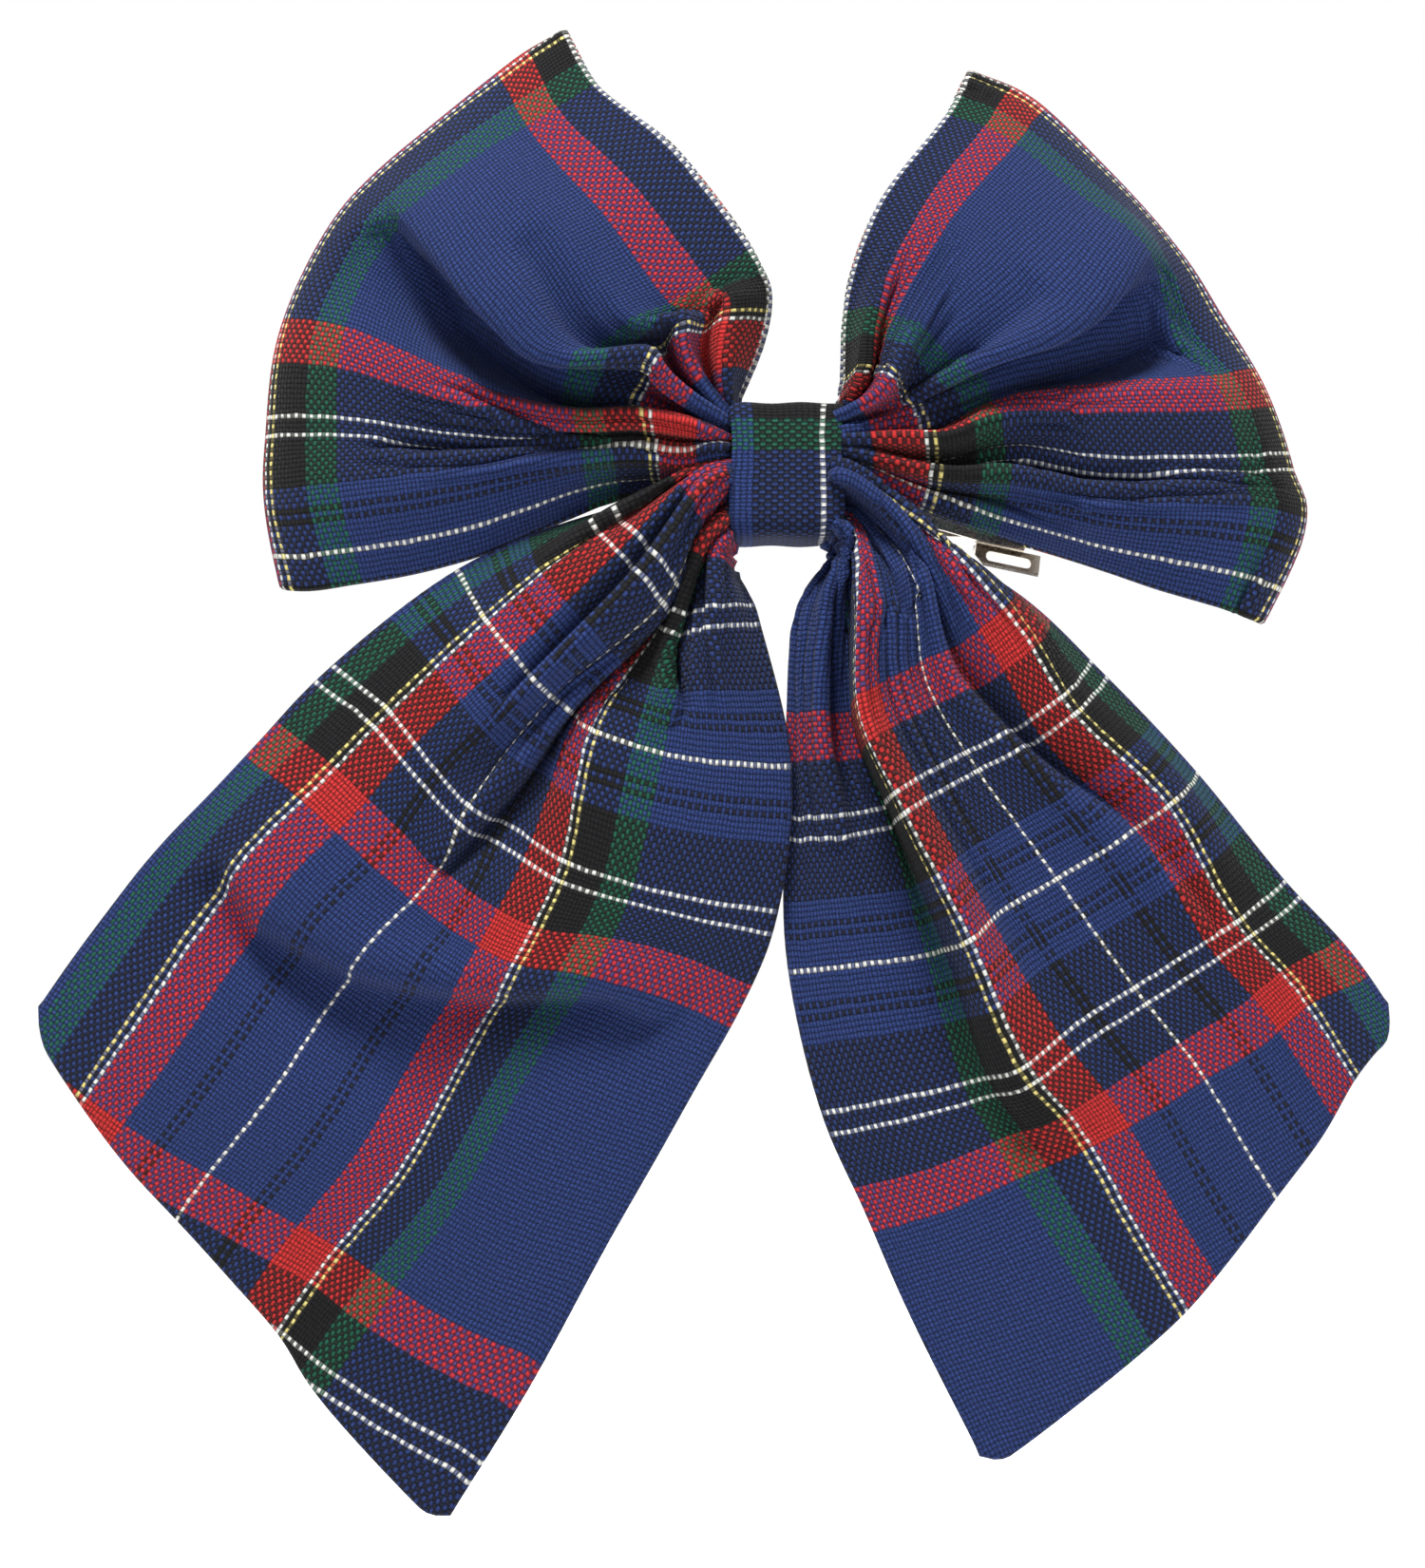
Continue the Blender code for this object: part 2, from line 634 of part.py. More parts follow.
def make_clasp_wing(name, side, mat, frame):
    """A wing of the clasp: an ear with a lip beside the lever, and a finger tab in front."""
    section = [
        (5.35, 3.55),
        (5.35, 4.2),
        (-0.6, 4.2),
        (-3.85, 7.75),
        (-3.42, 8.17),
        (-0.33, 4.8),
        (5.95, 4.8),
        (5.95, 3.55),
    ]
    outline = [(y, side * w) for y, w in section]
    pivot = (WING_START, WING_PIVOT_Y, side * WING_PIVOT_W)
    wing = extruded(name, outline, WING_START, WING_END, "x", mat, frame, pivot)
    low, high = sorted((side * 5.3, side * 7.2))
    window_plan = rounded_box((33.2, low), (40.6, high), 0.8)
    window = extruded(f"guide_{name}_window", window_plan, -6.0, 1.0, "y", parent=frame)
    boolean(wing, window, "DIFFERENCE")
    corner_plan = [
        (WING_START - 1.0, side * 5.6),
        (WING_START + 3.0, side * 9.6),
        (WING_START - 1.0, side * 9.6),
    ]
    corner = extruded(f"guide_{name}_corner", corner_plan, -6.0, 1.0, "y", parent=frame)
    boolean(wing, corner, "DIFFERENCE")


def main():
    clear_scene()
    mats = {
        "tartan": material("tartan_cotton", (0.03, 0.06, 0.24), 0.85),
        "band": material("band_cotton", (0.025, 0.04, 0.15), 0.85),
        "thread": material("sewing_thread", (0.02, 0.02, 0.05), 0.7),
        "nickel": material("nickel_steel", (0.62, 0.56, 0.47), 0.28, 1.0),
        "spring": material("spring_steel", (0.5, 0.5, 0.52), 0.35, 1.0),
    }
    bow = empty("bow_frame", Vector(BOW_OFFSET) * MM)
    strip_half("left_loop", LEFT_LOOP, 2, 2, 1, mats, bow)
    strip_half("right_loop", RIGHT_LOOP, 2, 2, -1, mats, bow)
    strip_half("left_tail", LEFT_TAIL, 3, 2, 1, mats, bow)
    strip_half("right_tail", RIGHT_TAIL, 3, 2, -1, mats, bow)
    knot = empty("knot_frame", Vector(BOW_OFFSET) * MM, BAND_TILT)
    make_centre_band(mats["band"], knot)
    make_band_stitches(mats["thread"], knot)
    make_gather_thread(mats["thread"], bow)

    barrette = empty("barrette_frame", tilt=BARRETTE_TILT)
    make_base_plate(mats["nickel"], barrette)
    make_hinge_pin(mats["nickel"], barrette)
    make_lever(mats["nickel"], barrette)
    make_tension_blade(mats["spring"], barrette)
    make_clasp_saddle(mats["nickel"], barrette)
    make_clasp_rivet(mats["nickel"], barrette)
    make_clasp_wing("clasp_wing_upper", 1, mats["spring"], barrette)
    make_clasp_wing("clasp_wing_lower", -1, mats["spring"], barrette)


main()
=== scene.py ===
"""Hair bow on a French barrette: looks, cloth and stage.

The cloth and the camera are worked out in millimetres, and the stage, the bevels and the
bump in metres. Cloth points are given as (x, z, y): x to the right and z up as the camera
sees them, from the band's middle, and y the depth in the row frame, away from the camera.
"""

import math

import bpy
import numpy as np
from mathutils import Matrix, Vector


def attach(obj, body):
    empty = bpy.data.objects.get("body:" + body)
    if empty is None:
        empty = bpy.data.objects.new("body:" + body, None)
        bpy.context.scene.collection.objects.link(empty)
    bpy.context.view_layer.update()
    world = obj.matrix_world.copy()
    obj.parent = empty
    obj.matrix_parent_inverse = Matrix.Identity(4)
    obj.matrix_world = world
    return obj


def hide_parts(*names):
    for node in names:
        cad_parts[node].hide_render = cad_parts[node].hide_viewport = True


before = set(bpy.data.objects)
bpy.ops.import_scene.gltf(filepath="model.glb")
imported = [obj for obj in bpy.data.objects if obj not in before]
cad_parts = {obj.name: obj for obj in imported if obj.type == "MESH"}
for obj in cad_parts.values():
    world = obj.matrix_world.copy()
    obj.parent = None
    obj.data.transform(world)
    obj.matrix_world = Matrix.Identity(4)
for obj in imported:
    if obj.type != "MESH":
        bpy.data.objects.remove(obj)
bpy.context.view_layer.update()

MM = 0.001

# Camera
AIM = np.array([-13.1, -12.0, -51.0])  # what the middle of the image looks at
AIM_ON_BOW = (-11.6, -49.0)  # the same place from the band's middle
CAMERA_DISTANCE = 430.0
CAMERA_RISE = math.radians(-5.0)  # the camera stands lower than what it looks at
FIELD_WIDTH = 223.9  # how wide the image is at that place
SENSOR = 36.0
CLIP_START = 0.01
LOOK = np.array([0.0, math.cos(CAMERA_RISE), -math.sin(CAMERA_RISE)])
UP = np.array([0.0, math.sin(CAMERA_RISE), math.cos(CAMERA_RISE)])
CAMERA = AIM - LOOK * CAMERA_DISTANCE

# Cloth
GRID_STEP = 1.25
PLY_HALF = 0.62  # half the thickness of a strip of two plies
EDGE_ROLL = 0.8  # the thickness of the rolled edge, as a share of the sheet's
LOOP_HEIGHT = 120.0
LOOP_FOLD = 86.5  # from the knot to the outer fold, along the cloth
LOOP_PLEAT = 19.0
LOOP_PLEAT_FADE = (16.0, 50.0)  # where the pleats begin to fade and where they end
LOOP_BACK_SIZE = 0.985  # the back of a loop against its front, as the camera sees it
LOOP_BACK_RISE = 0.05
LOOP_BACK_DEPTH = 0.42
TAIL_WIDTH = 95.0
TAIL_PLEAT_FADE = (12.0, 40.0)
TAIL_CORNER = 3.0  # how far the tails' corners are rounded back
LONG_CORNER_WIDTH = 4.0
SHORT_CORNER_WIDTH = 5.0
PLEAT_DEPTH = 0.2  # a pleat's depth against its length, at most
PLEAT_START = (5.0, 14.0)  # from the knot: flat under the band, then pleated
PINNED = (6.0, 11.0)  # from the knot: held under the band, then free to settle
HOLD = 0.06  # how firmly free cloth is drawn to where it was laid
PINNED_HOLD = 0.9  # and how much more firmly it is drawn under the band
SETTLE_ROUNDS = 60
PUSH_SHARE = 0.15  # the cloth's stiffness when it is pushed, against when it is pulled
FOLD_BEFORE = 0.7  # the share of each fold that is made before the cloth settles
FOLD_AFTER = 0.6  # and after
FOLD_EDGE = 0.9

# The centre band
BAND_WIDTH = 17.6
BAND_HEIGHT = 21.6
BAND_HALF_DEPTH = 7.55
BAND_MIDDLE = np.array([-1.5, -12.85, -2.0])
BAND_ROUNDNESS = 5.0  # the power of its superellipse
BAND_REACH = 11.0  # from the knot: how far the band covers the cloth
BAND_INSIDE_Y = (-19.2, -6.5)
BAND_INSIDE_HALF_HEIGHT = 9.4

# The tartan: colour and number of threads, from the middle of one blue to the middle of
# the other. The sett turns back at both middles.
L_PITCH = 0.634
L_SETT = [
    ("white", 1), ("blue", 12), ("black", 1), ("blue", 1), ("black", 1), ("blue", 9), ("red", 11),
    ("white", 1), ("black", 1), ("yellow", 1), ("black", 9), ("green", 8), ("blue", 30),
]
L_CENTRE = 72.7
T_PITCH = 0.85
T_SETT = [
    ("white", 1), ("blue", 5), ("black", 1), ("blue", 1), ("black", 1), ("blue", 4), ("black", 11),
    ("white", 1), ("black", 3), ("white", 1), ("black", 10), ("red", 9), ("blue", 34),
]
T_CENTRE = 98.3
YARN = {
    "blue": (0.018, 0.035, 0.132),
    "red": (0.43, 0.022, 0.022),
    "green": (0.010, 0.085, 0.050),
    "black": (0.008, 0.008, 0.009),
    "white": (0.68, 0.68, 0.64),
    "yellow": (0.68, 0.58, 0.20),
}

# Where the weave starts on each piece, in mm of cloth
LOOP_WEAVE_ACROSS = 121.6
TAIL_WEAVE_ACROSS = 36.0
LEFT_TAIL_WEAVE = (48.0, 1.0)  # the weave's place at the knot, and which way it runs
RIGHT_TAIL_WEAVE = (186.6, -1.0)
BAND_WEAVE = (93.6, 113.41)
BAND_WEAVE_SPREAD = 0.9

# Look of the weave
WOBBLE_SCALE = 0.35  # of the threads' wander, per mm
WOBBLE = 0.5
BLEED = 0.12  # how much of the thread below shows through the one on top
THREAD_DIP = 0.4
FUZZ_SCALE = 2.2
FUZZ = 1.5
FUZZ_BASE = 0.27
# Painted shade: the yarn is darkened where the threads dip into the gaps between them
GAP_SHADE_POWER = 0.8
GAP_SHADE_RANGE = 0.95
GAP_SHADE_BASE = 0.12
BUMP_HEIGHT = 0.00025

# Stage
FLOOR_HALF = 6.0
FLOOR_Z = -0.22
FLOOR_GLOW = 0.7
GLOW_CENTRE = (0.0, -0.4, FLOOR_Z)  # the floor doesn't glow near here, so light comes from above
GLOW_REACH = (0.35, 0.75)
WORLD_REACH = (-0.4, 0.6)  # from the front to the back, as a direction's y
WORLD_LIGHT = (0.3, 1.0)
LAMPS = (
    ("key", (-0.2, -0.5, 0.9), 0.3, 20.0),
    ("fill", (0.8, -0.6, 0.1), 0.6, 2.0),
    ("back", (0.2, 0.8, 0.5), 0.5, 3.5),
)

# Clip
BEVEL = 0.00012

LOOP_COLUMNS = [0.0, 13.5, 30.0, 46.0, 54.0, 62.0, 78.5, 93.5, 108.0, 120.0]
LEFT_LOOP = [
    (0, [
        (0.5, 9.3, -13.5), (0.5, 8.4, -14.5), (0.5, 7.4, -15), (0.5, 6.4, -15), (0.5, 5.9, -15),
        (0.5, 5.4, -15), (0.5, 4.3, -15), (0.5, 3.2, -15), (0.5, 2, -14.5), (0.5, 1, -13.5),
    ]),
    (9, [
        (-8.6, 9.6, -14), (-8.8, 8.9, -16.5), (-9, 8, -17), (-9, 7, -17), (-9, 6.5, -17),
        (-9, 6.1, -17), (-9, 5, -17), (-9, 3.8, -17), (-9, 2.4, -16), (-8.8, 1, -14),
    ]),
    (19, [
        (-3.6, 21.5, -15), (-12.6, 20.3, -20.5), (-18.4, 17.8, -21), (-20, 13.6, -20.5),
        (-19.6, 13.8, -17), (-20.8, 10.8, -18), (-17.6, 7.2, -19.5), (-17.2, 3.2, -18),
        (-17, 1, -16), (-16.5, -1.5, -14),
    ]),
    (24, [
        (-2.7, 27, -15.5), (-11.5, 24.6, -21), (-19, 21.6, -22.5), (-21.8, 16.2, -22),
        (-21.6, 15.6, -17), (-24.6, 12.4, -18.5), (-22.7, 8, -20), (-21.8, 4, -18.5),
        (-21.6, 1.8, -17), (-21, -2.5, -14),
    ]),
    (33, [
        (-4.8, 33.5, -16), (-15, 26.8, -20.5), (-26.5, 21.6, -24.5), (-33.4, 16.4, -24.5),
        (-31.2, 18.8, -18), (-33.6, 13, -17.5), (-31.4, 8, -20.5), (-30.4, 4.4, -18),
        (-30, 1.6, -18.5), (-29, -4.5, -14),
    ]),
    (54, [
        (-17.2, 50.8, -16.5), (-27.4, 42.2, -21.5), (-38, 36, -26.5), (-48.4, 25, -27.5),
        (-46, 28.6, -18.6), (-50.4, 22.4, -17.5), (-51.5, 12.6, -21.5), (-51.6, 5, -20),
        (-51.2, -2, -21), (-50, -13.8, -14.5),
    ]),
    (75, [
        (-31.2, 61.8, -13.5), (-39.6, 56.5, -17), (-50.2, 49.8, -20.5), (-60.6, 42, -21.5),
        (-63.8, 38, -19.6), (-66.8, 32.8, -17.8), (-71.6, 19.8, -19.5), (-72.2, 6.6, -18.5),
        (-71.6, -4.8, -18), (-68, -18, -13.5),
    ]),
    (84, [
        (-34.8, 68, -11.6), (-42.3, 63, -12.8), (-54.2, 54.2, -14), (-64.8, 45.2, -14.4),
        (-69.2, 40.2, -14.4), (-72.8, 34.4, -14.2), (-79, 20.4, -14.6), (-80.4, 6.4, -14.6),
        (-80.6, -6, -14.4), (-77.4, -18.8, -12.4),
    ]),
    (86.5, [
        (-35, 68.6, -11), (-42.9, 63.8, -11), (-55.2, 54.9, -11), (-66.1, 46, -11),
        (-70.3, 40.8, -11), (-73.9, 34.7, -11), (-80.4, 20.2, -11), (-82.8, 6, -11),
        (-83.5, -6, -11), (-80.6, -17.8, -11),
    ]),
]
RIGHT_LOOP = [
    (0, [
        (-0.5, 9.3, -13.5), (-0.5, 8.4, -14.5), (-0.5, 7.4, -15), (-0.5, 6.4, -15),
        (-0.5, 5.9, -15), (-0.5, 5.4, -15), (-0.5, 4.3, -15), (-0.5, 3.2, -15), (-0.5, 2, -14.5),
        (-0.5, 1, -13.5),
    ]),
    (12, [
        (8.8, 9.6, -14), (9, 8.9, -16.5), (9, 8, -17), (9, 7, -17), (9, 6.5, -17), (9, 6.1, -17),
        (9, 5, -17), (9, 3.8, -17), (9, 2.4, -16), (8.8, 1, -14),
    ]),
    (19, [
        (9, 12, -15), (12.6, 13.4, -19), (15.6, 11.2, -20), (16.6, 9.6, -19), (16.6, 9.8, -16.5),
        (17.4, 8.6, -17.5), (19, 6.2, -20), (20, 1.8, -19), (19.6, -1.4, -18), (18.6, -5, -14),
    ]),
    (24, [
        (9.4, 15, -15.5), (14, 16.6, -20), (18, 14.2, -21), (20, 11.6, -20), (20, 11.6, -17),
        (21.2, 9.8, -18), (23.6, 6, -21), (25, 1.4, -19.5), (25.2, -2.4, -18.5), (23.6, -6.8, -14),
    ]),
    (33, [
        (9.6, 24, -16), (15.7, 23.2, -21), (21.8, 20.2, -23), (27.8, 16, -24), (26, 18.4, -18),
        (29.6, 13.4, -18), (31.4, 9.6, -22), (33, 3, -20), (33.4, -3, -20), (31.4, -9.2, -14),
    ]),
    (54, [
        (15.2, 42, -16.5), (24.3, 40.4, -21), (33.5, 34, -24.5), (46.6, 21.8, -27),
        (44.2, 25.6, -18.4), (47.4, 18.8, -17.5), (49.6, 11.8, -23), (51.2, 1, -20.5),
        (51.4, -6.8, -20.5), (50, -15.0, -14),
    ]),
    (75, [
        (26.6, 57, -13.5), (34.5, 53.6, -17), (46.2, 44.3, -20.5), (56.8, 35.6, -22),
        (59.4, 29.6, -19), (61.6, 22.6, -16.8), (69.4, 12.4, -20), (73, 0.8, -18.5),
        (74.6, -8, -18), (69, -22.8, -13.5),
    ]),
    (84, [
        (28.8, 61.6, -11.6), (37.2, 57.6, -12.8), (48.8, 47.4, -14), (58.5, 36.9, -14.4),
        (62.6, 31.2, -14.2), (66, 25.2, -13.8), (74, 12.9, -14.6), (78.2, 0.9, -14.6),
        (80, -9.6, -14.2), (72.4, -24.8, -12.4),
    ]),
    (86.5, [
        (29, 62.2, -11), (38, 58.1, -11), (49.8, 47.9, -11), (59.7, 37.2, -11), (63.9, 31.5, -11),
        (67.5, 25.4, -11), (75.2, 13, -11), (79.5, 0.8, -11), (81.4, -10, -11), (73.6, -25.3, -11),
    ]),
]
TAIL_COLUMNS = [0.0, 13.0, 25.0, 36.7, 48.0, 60.5, 70.0, 82.0, 95.0]
LEFT_TAIL = [
    (0.0, [
        (0, 0, -13), (0, 0.8, -17), (0, -0.8, -17.5), (0, -2.5, -17.5), (0, -4.2, -17.5),
        (0, -6, -17.5), (0, -7.4, -17), (0, -8.6, -16), (0, -9.6, -14),
    ]),
    (9.0, [
        (-9, -0.6, -13), (-9, 1.8, -18), (-9, 0.2, -19), (-9, -2, -18.5), (-9, -4.2, -18),
        (-9, -6.4, -18), (-9, -8, -17.5), (-8.6, -9.6, -16.5), (-7.2, -11.6, -14),
    ]),
    (28.5, [
        (-28.6, -6.4, -15.5), (-28.9, -8.8, -21.5), (-23.4, -13.6, -23), (-18.6, -20, -19.5),
        (-18.4, -21.6, -14), (-18.8, -24.2, -14.5), (-16.4, -25, -18.5), (-12, -23.4, -20.5),
        (-5, -22.6, -16),
    ]),
    (50.3, [
        (-51.6, -15.6, -15), (-47.4, -23.3, -20), (-41.2, -31.6, -22), (-36.6, -36, -18),
        (-33.4, -38.4, -16.5), (-30, -41, -19), (-20.6, -44, -19.5), (-10.5, -45.8, -19),
        (0.5, -46.8, -16),
    ]),
    (72.0, [
        (-72.8, -32.2, -13), (-63.6, -38.6, -17.5), (-57, -46.8, -19), (-50.4, -54, -16),
        (-43, -57.6, -15.5), (-34.6, -63, -18), (-26, -65.9, -18), (-14.5, -68.8, -17.5),
        (-2.2, -71, -15),
    ]),
    (87.0, [
        (-82.4, -42.4, -12), (-74, -49, -16.5), (-65, -57.2, -18.5), (-56.5, -65.3, -17.5),
        (-49.8, -70.6, -17.5), (-40.3, -75, -18.5), (-30.6, -75.8, -18), (-18.5, -78.6, -16.5),
        (-7.6, -84, -14),
    ]),
    (100.0, [
        (-91.6, -52.3, -11.5), (-83.2, -57.8, -16), (-74.6, -66.5, -17.5), (-64.6, -74, -17.5),
        (-55.4, -79.4, -17.5), (-45.6, -84.6, -15), (-37, -86.2, -14.5), (-26.4, -90.4, -14),
        (-13.8, -95.6, -13),
    ]),
    (112.0, [
        (-99.2, -60.2, -11), (-90.6, -67.6, -12.2), (-80.8, -75.8, -11.5), (-71.2, -83.4, -11),
        (-61.6, -89.6, -11.5), (-51, -95, -12.5), (-43.6, -96.8, -13.2), (-32.6, -101.4, -13.2),
        (-19.5, -106, -12),
    ]),
    (130.0, [
        (-110.6, -74, -10), (-100.1, -82.9, -12), (-90.2, -90.6, -12.5), (-80.3, -97.4, -12.6),
        (-70, -103.6, -12.6), (-59.2, -109.6, -12.5), (-52, -112.6, -12.3), (-41.6, -117.4, -12),
        (-28.4, -121.6, -11),
    ]),
    (152.0, [
        (-123, -92, -8.5), (-112.4, -101, -9.5), (-102.6, -107.6, -10), (-92.6, -113, -10),
        (-82.2, -119, -10), (-71.6, -125, -10), (-65, -130, -10), (-54, -137, -9.5),
        (-39.8, -144, -9),
    ]),
    (176.0, [
        (-136.6, -111, -7.5), (-126, -121, -7.5), (-116.3, -127.6, -7.5), (-106.2, -133, -7.5),
        (-96, -138.8, -7.5), (-85.2, -145, -7.5), (-78.6, -150, -7.5), (-67.6, -157, -7.5),
        (-53.2, -166.4, -7.5),
    ]),
]
RIGHT_TAIL = [
    (0.0, [
        (0, -2, -13), (0, 0.2, -17), (0, -1.2, -17.5), (0, -2.6, -17.5), (0, -4.2, -17.5),
        (0, -6, -17.5), (0, -7.4, -17), (0, -8.6, -16), (0, -9.6, -14),
    ]),
    (14.0, [
        (9, -2.6, -13), (9, 0.6, -18), (9.4, -1.6, -19), (9.4, -3.6, -19), (9.4, -5.6, -18.5),
        (9.4, -7.4, -18), (9.2, -8.8, -17.5), (8.6, -10.2, -16.5), (7.4, -11.6, -14),
    ]),
    (32.0, [
        (21.6, -10.6, -15), (21.8, -8.8, -21), (20.6, -11.6, -22), (19.2, -14.8, -22.5),
        (15.4, -17.2, -23), (11.4, -19.4, -22.5), (9.6, -21, -17), (6.4, -22, -18),
        (2.2, -22, -14.5),
    ]),
    (51.7, [
        (38.2, -21.2, -15.5), (36.9, -24.2, -20.5), (29.6, -29.6, -19), (22, -33, -19),
        (16.8, -35.6, -21), (11.8, -38.8, -21.5), (11, -41, -15), (5.6, -41.2, -16.5),
        (0.7, -41.5, -14),
    ]),
    (66.5, [
        (49, -31.5, -14.5), (44.5, -36.5, -20), (37, -41.6, -17.5), (29, -45.6, -17.5),
        (23, -48.8, -19), (17.6, -52, -20.5), (16, -54, -14.2), (8, -55.8, -15), (0.5, -56, -13),
    ]),
    (88.3, [
        (64.2, -47.6, -12.5), (60.4, -51.6, -18), (51, -58.4, -16.5), (42.1, -63.8, -16),
        (33.8, -68.6, -17), (28.2, -73.4, -19), (23, -75.4, -13), (11.5, -76.8, -13.5),
        (0.8, -78, -12),
    ]),
    (110.0, [
        (79, -65.5, -11), (71.5, -71.4, -15), (63.6, -76.4, -14.5), (55, -82, -14.5),
        (46.6, -87.2, -15), (37, -94.5, -16.5), (29.8, -96.8, -12), (17, -99.9, -12),
        (6.5, -102, -11),
    ]),
    (125.0, [
        (89, -76.5, -10), (80, -80.6, -13), (72.4, -87, -13), (63.4, -92.4, -13),
        (54.8, -97.8, -13), (44.8, -103.3, -13.5), (35.8, -107.2, -11.5), (24, -112.4, -11),
        (12.5, -115.6, -10.5),
    ]),
    (145.0, [
        (100, -93, -9), (91, -97.6, -11), (83, -103.6, -11), (73.8, -109.6, -11), (65, -115.2, -11),
        (54.9, -120.8, -11), (46.3, -124.4, -10.5), (33.6, -129.6, -10), (20.3, -134.2, -9.5),
    ]),
    (172.0, [
        (114.4, -116, -7.5), (106, -120.6, -7.5), (98, -127, -7.5), (88.6, -133, -7.5),
        (79.6, -138.6, -7.5), (69.4, -144, -7.5), (60.4, -147.6, -7.5), (46.6, -153.4, -7.5),
        (32.2, -158.6, -7.5),
    ]),
]
# A fold: its line as (along, across) in the cloth, how far the cloth stands forward on the
# line's left and the width of that, how far it lies back on the right and the width of that.
LEFT_LOOP_FOLDS = [
    ([(14, 68), (34, 66), (56, 62), (74, 50)], -4.5, 7.0, 7.5, 3.5),
    ([(16, 38), (36, 36), (58, 34)], 1.0, 6.0, 3.5, 5.0),
    ([(14, 100), (40, 99), (66, 98)], 1.0, 4.0, 4.0, 4.0),
    ([(30, 88), (44, 84), (54, 78)], 0.5, 6.0, 2.0, 6.0),
]
RIGHT_LOOP_FOLDS = [
    ([(14, 66), (34, 68), (56, 66), (72, 62)], -4.5, 7.0, 7.5, 3.5),
    ([(16, 40), (36, 40), (56, 38)], 1.0, 5.0, 3.5, 5.0),
    ([(14, 100), (40, 100), (62, 98)], 1.0, 4.0, 4.0, 4.0),
]
LEFT_TAIL_FOLDS = [
    ([(106, 10), (110, 20), (106, 38), (97, 60), (93, 76), (94, 86)], 3.0, 7.0, 4.5, 6.0),
    ([(84, 36), (60, 44), (34, 47), (14, 52)], 2.5, 7.0, 4.5, 4.0),
    ([(14, 26), (34, 27), (56, 27)], 2.0, 4.0, 2.5, 4.0),
    ([(44, 74), (30, 68), (14, 66)], 2.0, 5.0, 3.0, 4.0),
]
RIGHT_TAIL_FOLDS = [
    ([(126, 66), (90, 64), (50, 63), (14, 61)], 3.5, 8.0, 4.5, 6.0),
    ([(30, 30), (52, 30), (84, 22), (108, 18)], 1.5, 6.0, 3.0, 5.0),
    ([(14, 84), (44, 80), (70, 80)], 1.5, 5.0, 2.5, 5.0),
]


def placed(points):
    """(x, z, y) as the camera sees them on the bow's plane, to points in the row frame, in mm."""
    points = np.asarray(points, float)
    across = points[..., 0] - AIM_ON_BOW[0]
    up = points[..., 1] - AIM_ON_BOW[1]
    ray = AIM + across[..., None] * np.array([1.0, 0.0, 0.0]) + up[..., None] * UP - CAMERA
    reach = (points[..., 2] - CAMERA[1]) / ray[..., 1]
    return CAMERA + ray * reach[..., None]


def smooth_curve(knots, values, at):
    """A smooth curve through values (K, ...) at the knots, read at each place in at."""
    knots = np.asarray(knots, float)
    gaps = np.diff(knots)
    spread = (slice(None),) + (None,) * (values.ndim - 1)
    rise = np.diff(values, axis=0) / gaps[spread]
    slopes = np.concatenate([rise[:1], rise])
    before, after = gaps[:-1][spread], gaps[1:][spread]
    slopes[1:-1] = (rise[:-1] * after + rise[1:] * before) / (before + after)
    k = np.clip(np.searchsorted(knots, at, side="right") - 1, 0, len(gaps) - 1)
    gap = gaps[k][spread]
    f = ((at - knots[k]) / gaps[k])[spread]
    start, end = values[k], values[k + 1]
    return (
        (2 * f**3 - 3 * f**2 + 1) * start
        + (f**3 - 2 * f**2 + f) * gap * slopes[k]
        + (3 * f**2 - 2 * f**3) * end
        + (f**3 - f**2) * gap * slopes[k + 1]
    )


def net_surface(net, columns, along, across):
    """Points of a control net at along (rows, columns) and across (columns)."""
    knots = [row[0] for row in net]
    rows = np.stack([smooth_curve(columns, placed(row[1]), across) for row in net])
    lines = [smooth_curve(knots, rows[:, j], along[:, j]) for j in range(len(across))]
    return np.stack(lines, axis=1)


def smooth_step(low, high, value):
    """Rises smoothly from 0 at low to 1 at high."""
    f = np.clip((value - low) / (high - low), 0.0, 1.0)
    return f * f * (3.0 - 2.0 * f)


def add_pleats(points, along, across, pleat, fade, rng):
    """Gathers the spare width near the knot into pleats, as deep as the cloth's length asks."""
    spread = np.linalg.norm(np.gradient(points, axis=1), axis=2) / np.gradient(across)[None, :]
    for _ in range(3):
        spread = (spread + np.roll(spread, 1, axis=0) + np.roll(spread, -1, axis=0)) / 3.0
    spare = np.sqrt(np.clip(1.0 - spread**2, 0.0, 1.0))
    wander = np.cumsum(rng.normal(0.0, 0.045, len(across)))
    phase = 2.0 * math.pi * (across / pleat + 0.4 * np.sin(across / 17.0) + wander)
    share = (1.0 - smooth_step(*fade, along)) * smooth_step(*PLEAT_START, along)
    depth = pleat * PLEAT_DEPTH * spare * share
    points[..., 1] += depth * np.cos(phase)[None, :]
    return points


def pull(points, first, second, rest, stiffness):
    """Moves two sets of points towards their rest distance. Cloth gives way more to a push."""
    a, b = points[first], points[second]
    gap = b - a
    length = np.sqrt((gap**2).sum(axis=2)) + 1e-9
    error = length - rest
    firm = np.where(error > 0.0, stiffness, stiffness * PUSH_SHARE)
    move = gap * (0.5 * firm * error / length)[..., None]
    points[first] += move
    points[second] -= move


